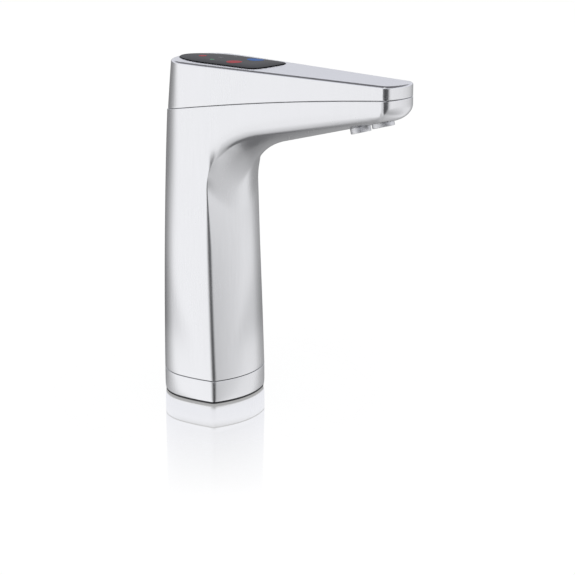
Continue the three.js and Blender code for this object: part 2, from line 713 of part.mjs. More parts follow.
// Half a turn of slot, in which the pin of the spout runs.
function stopSlot() {
  const half = pinRadius + GAP;
  const reachAngle = THREE.MathUtils.degToRad(swivelHalf);
  const [from, to] = [Math.PI / 2 - reachAngle, Math.PI / 2 + reachAngle];
  const end = (angle) => [stopRadius * Math.cos(angle), stopRadius * Math.sin(angle)];
  const shape = new THREE.Shape();
  shape.absarc(0, 0, stopRadius + half, from, to, false);
  shape.absarc(...end(to), half, to, to + Math.PI, false);
  shape.absarc(0, 0, stopRadius - half, to, from, true);
  shape.absarc(...end(from), half, from + Math.PI, from + 2 * Math.PI, false);
  return plate(shape, 5.5, flangeTop + 1, 14);
}

function stopPin() {
  return rod(pinRadius, 6, pinTop, 12).translate(0, stopRadius, 0);
}

// A sleeve on the post with a collar that carries the casting.
function lowerBush() {
  const inner = postRadius + bushPlay;
  const low = flangeTop + 0.25;
  const collarTop = columnFoot - 0.25;
  return turned([
    [inner, low], [stopRadius - pinRadius - 0.4, low], [stopRadius - pinRadius - 0.4, collarTop],
    [bushRadius, collarTop], [bushRadius, lowerBushTop], [inner, lowerBushTop],
  ]);
}

function upperBush() {
  return tubeRing(postRadius + bushPlay, bushRadius, upperBushFoot, hubTop - 1);
}

// A rubber ring with a pointed rim, which holds the spout where it is left.
function frictionRing() {
  const [inner, outer, half] = [postRadius + bushPlay, bushRadius, 2];
  return turned([
    [inner, frictionLevel - half / 2], [outer - 0.4, frictionLevel - half], [outer, frictionLevel],
    [outer - 0.4, frictionLevel + half], [inner, frictionLevel + half / 2],
  ]);
}

function thrustWasher() {
  return tubeRing(postRadius + 0.2, 19, hubTop + 0.25, hubTop + 1.3);
}

// A spring ring with a gap, seated in the groove of the post.
function postCirclip() {
  const inner = postRadius - groove.depth + 0.2;
  const outer = postRadius + 2.2;
  const open = 0.35; // half the gap, in radians
  const shape = new THREE.Shape();
  shape.absarc(0, 0, outer, open, 2 * Math.PI - open, false);
  shape.absarc(0, 0, inner, 2 * Math.PI - open, open, true);
  return plate(shape, groove.low + 0.25, groove.high - 0.25, 20);
}

function threadedShank() {
  return turned([
    [shankBore, shankFoot], [shankRadius - 1, shankFoot], [shankRadius, shankFoot + 1],
    [shankRadius, shankTop], [shankBore, shankTop],
  ]);
}

// ---- clamp under the worktop ----------------------------------------------------------------
const rubberFoot = -worktop - rubberThick;
const washerFoot = rubberFoot - GAP - washerThick;

function rubberWasher() {
  return tubeRing(shankRadius + shankPlay, washerRadius - 1, rubberFoot, -worktop);
}

function clampWasher() {
  return tubeRing(shankRadius + shankPlay - 0.1, washerRadius, washerFoot, washerFoot + washerThick);
}

function fixingNut() {
  const corner = nutAcross / Math.sqrt(3);
  const hexagon = new THREE.CylinderGeometry(corner, corner, nutHeight, 6);
  hexagon.rotateX(Math.PI / 2).translate(0, 0, washerFoot - GAP - nutHeight / 2);
  return cut(hexagon, rod(shankRadius + 0.25, -2 * worktop, -worktop));
}

// ---- the assembly ---------------------------------------------------------------------------
const tap = new THREE.Group();
tap.add(
  piece("base_seal", baseSeal(), blackRubber),
  piece("base_ring", baseRing(), brushed),
  piece("swivel_post", swivelPost(), brass),
  piece("threaded_shank", threadedShank(), brass),
  piece("lower_bush", lowerBush(), whitePlastic),
  piece("friction_ring", frictionRing(), blackRubber),
  piece("upper_bush", upperBush(), whitePlastic),
  piece("thrust_washer", thrustWasher(), steel),
  piece("post_circlip", postCirclip(), steel),
  piece("column_body", columnBody(), brushed),
  piece("stop_pin", stopPin(), steel),
  piece("top_cover", topCover(), brushed),
  piece("cover_screw", coverScrew(), steel),
  piece("panel_gasket", panelGasket(), blackRubber),
  piece("touch_panel", touchPanel(), blackGloss),
  ...marks.map((mark) => piece(mark.name, touchMark(mark), mark.finish)),
  piece("touch_board", touchBoard(), boardGreen),
  piece("board_socket", boardSocket(), greyPlastic),
  piece("signal_lead", signalLead(), greyPlastic),
  piece("boiling_tube", waterTube(-tubeSide), copper),
  piece("chilled_tube", waterTube(tubeSide), steel),
  piece("outlet_block", outletBlock(), brass),
  piece("outlet_seal", outletSeal(), blackRubber),
  piece("outlet_plate", outletPlate(), polished),
  piece("outlet_collar", outletCollar(), polished),
  piece("flow_insert", flowInsert(), whitePlastic),
  piece("rubber_washer", rubberWasher(), blackRubber),
  piece("clamp_washer", clampWasher(), steel),
  piece("fixing_nut", fixingNut(), brass),
);

export default tap;
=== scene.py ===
"""A boiling water tap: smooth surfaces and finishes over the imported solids.

Everything is in metres, +Z up, with the origin on the worktop, on the axis that the spout
swivels about. The spout points towards -Y. In this file "reach" is the distance forward of that
axis (-y) and "side" is x, and the named dimensions below are in millimetres.
"""

import math

import bpy
import numpy as np
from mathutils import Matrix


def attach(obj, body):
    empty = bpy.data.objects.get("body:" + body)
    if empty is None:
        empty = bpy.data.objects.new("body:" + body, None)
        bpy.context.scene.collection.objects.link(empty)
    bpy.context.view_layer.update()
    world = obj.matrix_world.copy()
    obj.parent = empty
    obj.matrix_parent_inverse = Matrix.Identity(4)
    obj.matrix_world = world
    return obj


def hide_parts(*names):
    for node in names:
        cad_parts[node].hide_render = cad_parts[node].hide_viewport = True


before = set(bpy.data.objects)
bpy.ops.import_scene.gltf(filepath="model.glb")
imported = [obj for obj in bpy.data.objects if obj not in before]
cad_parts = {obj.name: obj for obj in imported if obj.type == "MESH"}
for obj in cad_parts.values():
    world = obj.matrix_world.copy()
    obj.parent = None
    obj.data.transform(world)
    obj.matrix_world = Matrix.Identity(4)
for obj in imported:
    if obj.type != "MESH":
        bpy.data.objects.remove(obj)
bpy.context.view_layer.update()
MM = 0.001

# ---- dimensions, in millimetres ------------------------------------------------------------------
TOP_HEIGHT, TOP_FALL = 195.5, 0.018
WIDEST_REACH = -3.0
FOOT_HALF, ARM_HALF, FLARE_END = 26.1, 23.03, 165.0
FOOT_TAPER, ARM_TAPER, TAPER_BLEND = 0.224, 0.084, 20.0
BACK_DEPTH, BACK_LEAN, BACK_LEAN_POWER = 27.2, 7.7, 3.5
CREASE_REACH, FRONT_LEAN, FRONT_BULGE = 19.5, 0.035, 6.0
# The front's two rows, along each crease and along the middle: the arm's level at a reach and its
# rise, the two legs of the fillet, the reach of the end, and the two legs of the tip's round.
CORNER_ROW = {
    "level": 163.9, "at": 77.7, "rise": 0.200, "fillet": (27.0, 35.0), "end": 127.8, "round": (6.0, 6.0)}
CROWN_ROW = {
    "level": 161.2, "at": 80.0, "rise": 0.261, "fillet": (36.5, 34.5), "end": 134.2, "round": (7.6, 7.6)}
# The crease's radius on the column and on the arm, and the heights between which it changes.
CREASE_ROUND, CREASE_SHARP = 2.0, 0.3
CREASE_FADE = (85.0, 135.0)
# How the wall turns in under the belly: how far in, and the heights of the curve's pivot and end.
BELLY_ROUND = {"in": 4.5, "pivot": 2.1, "up": 9.6}
SEAM_REACH, SEAM_LEVEL, SEAM_RUN, SEAM_RISE, SEAM_SAG, SEAM_GAP = -7.5, 169.0, 137.8, 22.6, 6.0, 0.18
COVER_STEP, COVER_LEAN, COVER_SIDE_STEP = 0.8, 0.04, 0.12
COVER_TOP, COVER_WALL, COVER_END_LEVEL, COVER_LOW_ROUND, EDGE_ROUND = 3.4, 2.5, 190.0, 0.3, 1.3
WALL, RIM_ROUND, FOOT_ROUND = 3.0, 0.3, 0.25
# The length given to the half ellipse that closes the back, where the side wall is unrolled.
BACK_RUN = 40.0

RING_LOW, RING_TOP, COLUMN_FOOT = 1.8, 13.7, 14.0
RING_TUCK, SKIRT_LOW, SKIRT_THICK = 0.35, 1.2, 1.3
FLANGE_BORE, HUB_BORE, HUB_TOP = 22.8, 16.3, 62.0
SHANK_RADIUS, SHANK_BORE, SHANK_FOOT, SHANK_TOP = 16.0, 12.0, -58.0, 7.0
THREAD_PITCH, THREAD_DEPTH = 1.5, 0.8
WORKTOP = 20.0
NUT_LOW, NUT_HIGH, NUT_HALF = -WORKTOP - 14.1, -WORKTOP - 6.1, 21.0

OUTLET_REACH = 105.0
PLATE_BACK, PLATE_FRONT, PLATE_HALF, PLATE_PROUD = 9.0, 22.0, 5.2, 2.2
COLLAR_RADIUS, COLLAR_DROP, POCKET_FIT = 5.6, 2.9, 0.5

PANEL_TAIL, PANEL_BACK, PANEL_SHOULDER, PANEL_NOSE = 19.8, 8.0, 38.2, 45.1
PANEL_HALF, PANEL_NOSE_HALF, PANEL_MIDDLE = 16.7, 15.8, 13.0
PANEL_SINK, PANEL_PROUD, PANEL_CROWN, WINDOW_INSET = 0.8, 0.5, 0.45, 3.0
PANEL_NOSE_PULL = 0.57
LENS_EDGE, LENS_ROUND, LENS_RUN = 0.5, 0.4, 10.5

TUBE_RADIUS, TUBE_BORE, TUBE_SIDE = 4.0, 3.1, 4.9
TUBE_FOOT, TUBE_BEND, TUBE_LIFT, TUBE_STOP = -66.0, 24.0, 8.5, 15.0

# How many steps each part of the casting's grid has.
COUNTS = {
    "column": 36, "fillet": 44, "arm": 44, "tip": 18, "end": 4, "across": 25, "skin": 56, "belly": 9,
    "bend": 5, "fan": 10}
# Points nearer than this, in metres, are welded, and edges over this angle, in degrees, stay crisp.
WELD, CRISP_EDGE = 2e-6, 35.0


# ---- camera, light and floor ---------------------------------------------------------------------
def aim_camera():
    """A long lens from the front left and above, level across, at the photograph's angle. The turn
    round the tap, the aim to one side of it and the dip are in degrees."""
    turn, aside, dip, distance, height = 48.707, 2.48, -15.074, 0.997, 0.330
    data = bpy.data.cameras.new("camera")
    data.sensor_width, data.lens, data.clip_end = 36.0, 110.76, 50.0
    camera = bpy.data.objects.new("camera", data)
    bpy.context.scene.collection.objects.link(camera)
    camera.location = (
        -distance * math.sin(math.radians(turn)),
        -distance * math.cos(math.radians(turn)),
        height,
    )
    heading = math.radians(90 - (turn + aside))
    camera.rotation_euler = (math.radians(90 + dip), 0, heading - math.pi / 2)
    bpy.context.scene.camera = camera
    bpy.context.scene.view_settings.view_transform = "Standard"


def node(tree, kind, inputs=None, **settings):
    """A shader node with its settings, its unlinked values and its links."""
    made = tree.nodes.new(kind)
    for key, value in settings.items():
        setattr(made, key, value)
    for key, value in (inputs or {}).items():
        if isinstance(value, bpy.types.NodeSocket):
            tree.links.new(value, made.inputs[key])
        else:
            made.inputs[key].default_value = value
    return made


def arithmetic(tree, operation, first, second):
    """One sum of two values, as the socket that it comes out of."""
    return node(tree, "ShaderNodeMath", {0: first, 1: second}, operation=operation).outputs[0]


def between(tree, value, start, stop, low=0.0, high=1.0, ease="LINEAR"):
    """The value carried from the range start to stop over to low to high, and held at both ends."""
    inputs = {0: value, 1: start, 2: stop, 3: low, 4: high}
    return node(tree, "ShaderNodeMapRange", inputs, interpolation_type=ease).outputs[0]


def colour_mix(tree, share, first, second):
    """The first colour where the share is 0, and the second where it is 1."""
    return node(tree, "ShaderNodeMix", {0: share, 6: first, 7: second}, data_type="RGBA").outputs[2]


def colour_ramp(tree, factor, stops):
    """A ramp with straight steps through (place, colour) stops."""
    ramp = node(tree, "ShaderNodeValToRGB", {0: factor})
    ramp.color_ramp.interpolation = "LINEAR"
    elements = ramp.color_ramp.elements
    for place, _ in stops[2:]:
        elements.new(place)
    for element, (place, colour) in zip(elements, stops):
        element.position = place
        element.color = (*colour, 1.0)
    return ramp.outputs[0]


# What the metal sees round the horizon, as (degrees from +X towards +Y, grey level): bright from the
# rear to the left, dark round the camera, fairly bright from the front to the right, and dim at the
# right rear.
HORIZON = [
    (0, 0.37), (5, 0.34), (20, 0.32), (42, 0.30), (50, 0.19), (60, 0.21), (66, 0.25), (78, 0.28),
    (93, 0.49), (105, 0.75), (113, 0.93), (120, 0.97), (170, 0.97), (182, 0.80), (200, 0.36), (215, 0.08),
    (238, 0.07), (248, 0.22), (256, 0.53), (262, 0.58), (281, 0.63), (306, 0.74), (320, 0.82), (342, 0.84),
    (346, 0.72), (352, 0.52), (360, 0.37),
]
# What the metal sees on the floor just under the arm, in the same way: dim greys that are a
# painted shadow of the tap on the floor, seen only in the metal.
UNDERFOOT_SHADOW = [
    (0, 0.27), (30, 0.23), (42, 0.19), (55, 0.19), (65, 0.33), (93, 0.44), (122, 0.52), (147, 0.60),
    (165, 0.62), (178, 0.62), (208, 0.50), (228, 0.50), (245, 0.43), (266, 0.43), (291, 0.45), (320, 0.43),
    (340, 0.37), (360, 0.27),
]
# What the metal sees far off, in the same way.
FAR_OFF = [
    (0, 0.37), (5, 0.34), (20, 0.32), (42, 0.30), (50, 0.19), (60, 0.21), (66, 0.23), (84, 0.25),
    (98, 0.37), (109, 0.58), (118, 0.84), (127, 0.97), (168, 0.96), (174, 0.70), (182, 0.14), (192, 0.04),
    (240, 0.03), (247, 0.25), (253, 0.85), (262, 0.90), (285, 0.86), (306, 0.82), (320, 0.76), (335, 0.66),
    (346, 0.55), (352, 0.46), (360, 0.37),
]
# The sky that the metal sees, as (share of the way up, colour): pale low down and dark overhead.
SKY = [
    (0.0, (0.81, 0.82, 0.885)), (0.42, (0.81, 0.82, 0.885)), (0.52, (0.17, 0.17, 0.18)),
    (1.0, (0.12, 0.12, 0.13)),
]
# How much bluer than grey the studio's greys are.
BLUE_TINT = 1.015
# The places on the floor, in metres, that the greys are measured round: the foot's front left
# corner for the horizon, and a spot in front of the foot for the greys underfoot, a painted shadow.
CORNER_SPOT, FRONT_SPOT = (-0.0215, -0.0185, 0.0), (-0.010, -0.030, 0.0)
WHITE = (1, 1, 1, 1)


def bearing_group(name, greys):
    """Turns a flat direction (x, y) into the grey that the studio shows that way."""
    group = bpy.data.node_groups.new(name, "ShaderNodeTree")
    group.interface.new_socket("Direction", in_out="INPUT", socket_type="NodeSocketVector")
    group.interface.new_socket("Grey", in_out="OUTPUT", socket_type="NodeSocketColor")
    start = group.nodes.new("NodeGroupInput")
    end = group.nodes.new("NodeGroupOutput")
    parts = node(group, "ShaderNodeSeparateXYZ", {0: start.outputs[0]})
    angle = arithmetic(group, "ARCTAN2", parts.outputs[1], parts.outputs[0])
    turns = arithmetic(group, "DIVIDE", angle, 2 * math.pi)
    stops = [(bearing / 360, (level, level, level * BLUE_TINT)) for bearing, level in greys]
    grey = colour_ramp(group, arithmetic(group, "FLOORED_MODULO", turns, 1.0), stops)
    group.links.new(grey, end.inputs[0])
    return group


def light_studio(far_off):
    """White to the camera, through glass and in the floor's mirror image. To metal, the far greys
    round the horizon and a soft pale sky above them. An even grey to all else."""
    world = bpy.data.worlds.new("studio")
    world.use_nodes = True
    bpy.context.scene.world = world
    tree = world.node_tree
    tree.nodes.clear()
    place = node(tree, "ShaderNodeTexCoord").outputs["Generated"]
    height = node(tree, "ShaderNodeSeparateXYZ", {0: place}).outputs[2]
    round_view = node(tree, "ShaderNodeGroup", {0: place}, node_tree=far_off)
    rise = between(tree, height, 0.02, 0.20)
    seen = colour_mix(tree, rise, round_view.outputs[0], colour_ramp(tree, height, SKY))
    path = node(tree, "ShaderNodeLightPath")
    even = colour_mix(tree, path.outputs["Is Glossy Ray"], (0.82, 0.82, 0.83, 1), seen)
    clear = arithmetic(tree, "MAXIMUM", path.outputs["Is Camera Ray"], path.outputs["Is Transmission Ray"])
    mirrored = arithmetic(tree, "MAXIMUM", clear, path.outputs["Is Singular Ray"])
    light = node(tree, "ShaderNodeBackground", {0: colour_mix(tree, mirrored, even, WHITE), 1: 1.0})
    end = node(tree, "ShaderNodeOutputWorld")
    tree.links.new(light.outputs[0], end.inputs[0])


def hang_lamp(name, watts, size, place, target):
    """A round soft lamp at a place, facing a target."""
    data = bpy.data.lights.new(name, "AREA")
    data.energy, data.size, data.shape = watts, size, "DISK"
    lamp = bpy.data.objects.new(name, data)
    bpy.context.scene.collection.objects.link(lamp)
    lamp.location = place
    away = np.array(place) - np.array(target)
    away /= np.linalg.norm(away)
    lamp.rotation_euler = (math.acos(away[2]), 0, math.atan2(away[0], -away[1]))


def measured_from(tree, place, spot):
    """A place on the floor measured from a spot, and how far off the spot is."""
    offset = node(tree, "ShaderNodeVectorMath", {0: place, 1: spot}, operation="SUBTRACT").outputs[0]
    return offset, node(tree, "ShaderNodeVectorMath", {0: offset}, operation="LENGTH").outputs[1]


def lay_floor(horizon, underfoot, far_off):
    """A pale floor. Rays that leave metal at a low angle see the horizon's greys on it, and steep
    ones, whose run over the floor is short for their length, the greys underfoot: a painted
    shadow of the tap, which brightens outwards. Rays of middling length that land farther out
    than they are long come from the underside of the tip and get painted shade, and so does a
    second bounce between two metal faces. The camera sees white with a faint mirror image that
    fades away from the foot."""
    half, z = 6.0, -0.0001
    mesh = bpy.data.meshes.new("floor")
    corners = [(-half, -half, z), (half, -half, z), (half, half, z), (-half, half, z)]
    mesh.from_pydata(corners, [], [(0, 1, 2, 3)])
    floor = bpy.data.objects.new("floor", mesh)
    bpy.context.scene.collection.objects.link(floor)
    material = bpy.data.materials.new("pale_floor")
    material.use_nodes = True
    tree = material.node_tree
    tree.nodes.clear()
    place = node(tree, "ShaderNodeTexCoord").outputs["Object"]
    path = node(tree, "ShaderNodeLightPath")
    ray = path.outputs["Ray Length"]

    corner, away = measured_from(tree, place, CORNER_SPOT)
    near_view = node(tree, "ShaderNodeGroup", {0: corner}, node_tree=horizon)
    far_view = node(tree, "ShaderNodeGroup", {0: corner}, node_tree=far_off)
    distant = between(tree, away, 0.66, 0.73, ease="SMOOTHSTEP")
    round_view = colour_mix(tree, distant, near_view.outputs[0], far_view.outputs[0])

    # Painted shadow of the tap on the floor, seen only in the metal: dim greys round the foot that brighten
    # outwards.
    below, spread = measured_from(tree, place, FRONT_SPOT)
    round_foot = node(tree, "ShaderNodeGroup", {0: below}, node_tree=underfoot)
    shadow_fade = between(tree, spread, 0.01, 0.20, 0.86, 1.52)
    shadowed_underfoot = node(
        tree, "ShaderNodeVectorMath", {0: round_foot.outputs[0], "Scale": shadow_fade}, operation="SCALE")

    level = arithmetic(tree, "DIVIDE", arithmetic(tree, "ADD", away, 0.003), ray)
    low = between(tree, level, 0.89, 0.945, ease="SMOOTHSTEP")
    shown = colour_mix(tree, low, shadowed_underfoot.outputs[0], round_view)

    # Painted shade under the tip: rays from the tip's underside see the floor darker.
    middling = arithmetic(tree, "MULTIPLY", between(tree, ray, 0.13, 0.16), between(tree, ray, 0.40, 0.25))
    under_tip = arithmetic(tree, "MULTIPLY", between(tree, level, 1.05, 1.09), middling)
    under_tip_shade = between(tree, under_tip, 0.0, 1.0, 1.0, 0.74)
    # Painted shade between metal faces: a second bounce sees the floor darker, as though shadowed.
    second_bounce_shade = between(tree, path.outputs["Ray Depth"], 1.0, 2.0, 1.0, 0.40)
    seen = node(tree, "ShaderNodeEmission", {0: shown, 1: arithmetic(tree, "MULTIPLY", second_bounce_shade, under_tip_shade)})

    matt = node(tree, "ShaderNodeBsdfDiffuse", {0: (0.93, 0.93, 0.93, 1)})
    white = node(tree, "ShaderNodeEmission", {0: WHITE, 1: 1.06})
    mirror = node(tree, "ShaderNodeBsdfGlossy", {0: WHITE, "Roughness": 0.0})
    length = node(tree, "ShaderNodeVectorMath", {0: place}, operation="LENGTH")
    fade = between(tree, length.outputs[1], 0.03, 0.175, 0.60, 0.0)
    pale = node(tree, "ShaderNodeMixShader", {0: 0.82, 1: matt.outputs[0], 2: white.outputs[0]})
    shiny = node(tree, "ShaderNodeMixShader", {0: fade, 1: pale.outputs[0], 2: mirror.outputs[0]})
    for_metal = node(tree, "ShaderNodeMixShader", {
        0: path.outputs["Is Glossy Ray"], 1: matt.outputs[0], 2: seen.outputs[0]})
    clear = arithmetic(tree, "MAXIMUM", path.outputs["Is Camera Ray"], path.outputs["Is Transmission Ray"])
    final = node(tree, "ShaderNodeMixShader", {0: clear, 1: for_metal.outputs[0], 2: shiny.outputs[0]})
    end = node(tree, "ShaderNodeOutputMaterial")
    tree.links.new(final.outputs[0], end.inputs[0])
    mesh.materials.append(material)


# ---- finishes ------------------------------------------------------------------------------------
def grain_group():
    """Fine brushing: noise drawn out along one axis, as a height and as a small change of gloss that
    a soft cloud joins in."""
    group = bpy.data.node_groups.new("brushed_grain", "ShaderNodeTree")
    for name, kind in (("Stretch", "Vector"), ("Roughness", "Float"), ("Spread", "Float")):
        group.interface.new_socket(name, in_out="INPUT", socket_type="NodeSocket" + kind)
    for name in ("Roughness", "Height"):
        group.interface.new_socket(name, in_out="OUTPUT", socket_type="NodeSocketFloat")
    start = group.nodes.new("NodeGroupInput")
    end = group.nodes.new("NodeGroupOutput")
    place = node(group, "ShaderNodeTexCoord").outputs["Object"]
    drawn = node(group, "ShaderNodeVectorMath", {0: place, 1: start.outputs[0]}, operation="MULTIPLY")
    fine = node(group, "ShaderNodeTexNoise", {"Vector": drawn.outputs[0], "Scale": 1.0, "Detail": 3.0})
    cloud = node(group, "ShaderNodeTexNoise", {"Vector": place, "Scale": 28.0, "Detail": 2.0})
    both = arithmetic(group, "ADD", fine.outputs[0], cloud.outputs[0])
    change = arithmetic(group, "MULTIPLY", arithmetic(group, "SUBTRACT", both, 1.0), start.outputs[2])
    group.links.new(arithmetic(group, "ADD", change, start.outputs[1]), end.inputs[0])
    group.links.new(fine.outputs[0], end.inputs[1])
    return group


def finish(name, colour, metal, rough, spread, stretch, bump, ior=1.5):
    """A surface with grain: its colour, its gloss and the size and strength of its marks, which also
    make it a little darker and lighter."""
    shade, depth = 0.035, 0.00002
    material = bpy.data.materials.new(name)
    material.use_nodes = True
    tree = material.node_tree
    shader = tree.nodes["Principled BSDF"]
    shader.inputs["Metallic"].default_value = metal
    shader.inputs["IOR"].default_value = ior
    grain = node(tree, "ShaderNodeGroup", {0: stretch, 1: rough, 2: spread}, node_tree=GRAIN)
    tree.links.new(grain.outputs[0], shader.inputs["Roughness"])
    raised = node(tree, "ShaderNodeBump", {"Strength": bump, "Distance": depth, "Height": grain.outputs[1]})
    tree.links.new(raised.outputs[0], shader.inputs["Normal"])
    darker = (*(c * (1 - shade) for c in colour), 1)
    lighter = (*(min(c * (1 + shade), 1) for c in colour), 1)
    tree.links.new(colour_mix(tree, grain.outputs[1], darker, lighter), shader.inputs["Base Color"])
    return material


# ---- the form, worked out as arrays --------------------------------------------------------------
def at(reach, side, z):
    """Points in metres from reach, side and height in millimetres."""
    reach, side, z = np.broadcast_arrays(reach, side, z)
    return np.stack([side, -reach, z], axis=-1) * MM


def polar(radius, angles, z):
    """Points by their distance from an upright axis, their bearing round it and their height."""
    x, y, z = np.broadcast_arrays(radius * np.cos(angles), radius * np.sin(angles), z)
    return np.stack([x, y, z], axis=-1)


def parabola(start, pivot, stop, t):
    """The parabola that leaves start towards the pivot and comes to stop from it:
    (1 - t)^2 start + 2t(1 - t) pivot + t^2 stop."""
    return (1 - t) ** 2 * start + 2 * t * (1 - t) * pivot + t**2 * stop


def top_at(reach):
    """The flat top falls by a constant share of the reach."""
    return TOP_HEIGHT - TOP_FALL * reach


def seam_at(reach):
    """The seam is a parabola in side view: level + rise t - sag t squared, t being reach over run."""
    t = (reach - SEAM_REACH) / SEAM_RUN
    return SEAM_LEVEL + SEAM_RISE * t - SEAM_SAG * t * t


def half_width(reach, z, inset=0.0):
    """Half a cosine wave narrows the column from foot to arm, and a taper that starts as a parabola
    closes the sides towards the front."""
    share = (1 + np.cos(np.pi * np.minimum(z, FLARE_END) / FLARE_END)) / 2
    widest = ARM_HALF + (FOOT_HALF - ARM_HALF) * share
    taper = ARM_TAPER + (FOOT_TAPER - ARM_TAPER) * share
    run = np.maximum(reach - WIDEST_REACH, 0)
    eased = np.where(run < TAPER_BLEND, run**2 / (2 * TAPER_BLEND), run - TAPER_BLEND / 2)
    return widest - taper * eased - inset


def back_depth(z, inset=0.0):
    """The back leans in by a power of the height."""
    return BACK_DEPTH - BACK_LEAN * (np.maximum(z, 0) / TOP_HEIGHT) ** BACK_LEAN_POWER - inset


def skin(run, z, inset=0.0, back_inset=0.0):
    """The side wall unrolled: forward of the widest section run is reach, and behind it run is a
    quarter turn of the half ellipse that closes the back."""
    run, z = np.broadcast_arrays(np.asarray(run, float), np.asarray(z, float))
    turn = (1 + np.minimum(run, 0) / BACK_RUN) * np.pi / 2
    forward = np.maximum(run, 0)
    behind = WIDEST_REACH - back_depth(z, inset + back_inset) * np.cos(turn)
    reach = np.where(run < 0, behind, WIDEST_REACH + forward)
    side = half_width(WIDEST_REACH + forward, z, inset) * np.where(run < 0, np.sin(turn), 1.0)
    return reach, side


def front_row(foot_reach, row, counts, end_level, inset=0.0, foot=COLUMN_FOOT):
    """One row of the front in side view, as (reach, z): a leaning line up the column, a curve round
    the fillet, a line along the arm, a curve round the tip and a line up its end. Each curve is a
    parabola that leaves its corner's two lines at the given distances."""
    climb = np.array([-FRONT_LEAN, 1.0]) / math.hypot(FRONT_LEAN, 1)
    arm = np.array([1.0, row["rise"]]) / math.hypot(row["rise"], 1)
    up = np.array([0.0, 1.0])
    start = np.array([foot_reach - inset - FRONT_LEAN * (foot - COLUMN_FOOT), foot])
    level = np.array([row["at"], row["level"] + inset / arm[0]])
    cross = lambda a, b: a[0] * b[1] - a[1] * b[0]

    def bend(pivot, entry, leave, legs, count):
        t = np.linspace(0, 1, count + 1)[:, None]
        return parabola(pivot - entry * legs[0], pivot, pivot + leave * legs[1], t)

    def line(first, last, count):
        return first + (last - first) * np.linspace(0, 1, count + 1)[:, None]

    corner = start + climb * cross(level - start, arm) / cross(climb, arm)
    fillet = bend(corner, climb, arm, row["fillet"], counts["fillet"])
    end_reach = row["end"] - inset
    turn_in = corner + arm * (end_reach - corner[0]) / arm[0]
    tip = bend(turn_in, arm, up, row["round"], counts["tip"])
    peak = np.array([end_reach, end_level(end_reach)])
    return np.concatenate([
        line(start, fillet[0], counts["column"])[:-1], fillet,
        line(fillet[-1], tip[0], counts["arm"])[1:-1], tip, line(tip[-1], peak, counts["end"])[1:]])


def smooth(share):
    """0 to 1 with level ends: 3t^2 - 2t^3."""
    t = np.clip(share, 0, 1)
    return t * t * (3 - 2 * t)


def front_share(x, soft):
    """How far a point at x across has moved from the crown row to the corner row:
    1 - (1 - x^2)^(1/n), with n from 1 (a parabola, which meets the sides at a crease) to 2 at the
    tip (half an ellipse, which runs into them)."""
    return 1 - (1 - x**2) ** (1 / (1 + soft))


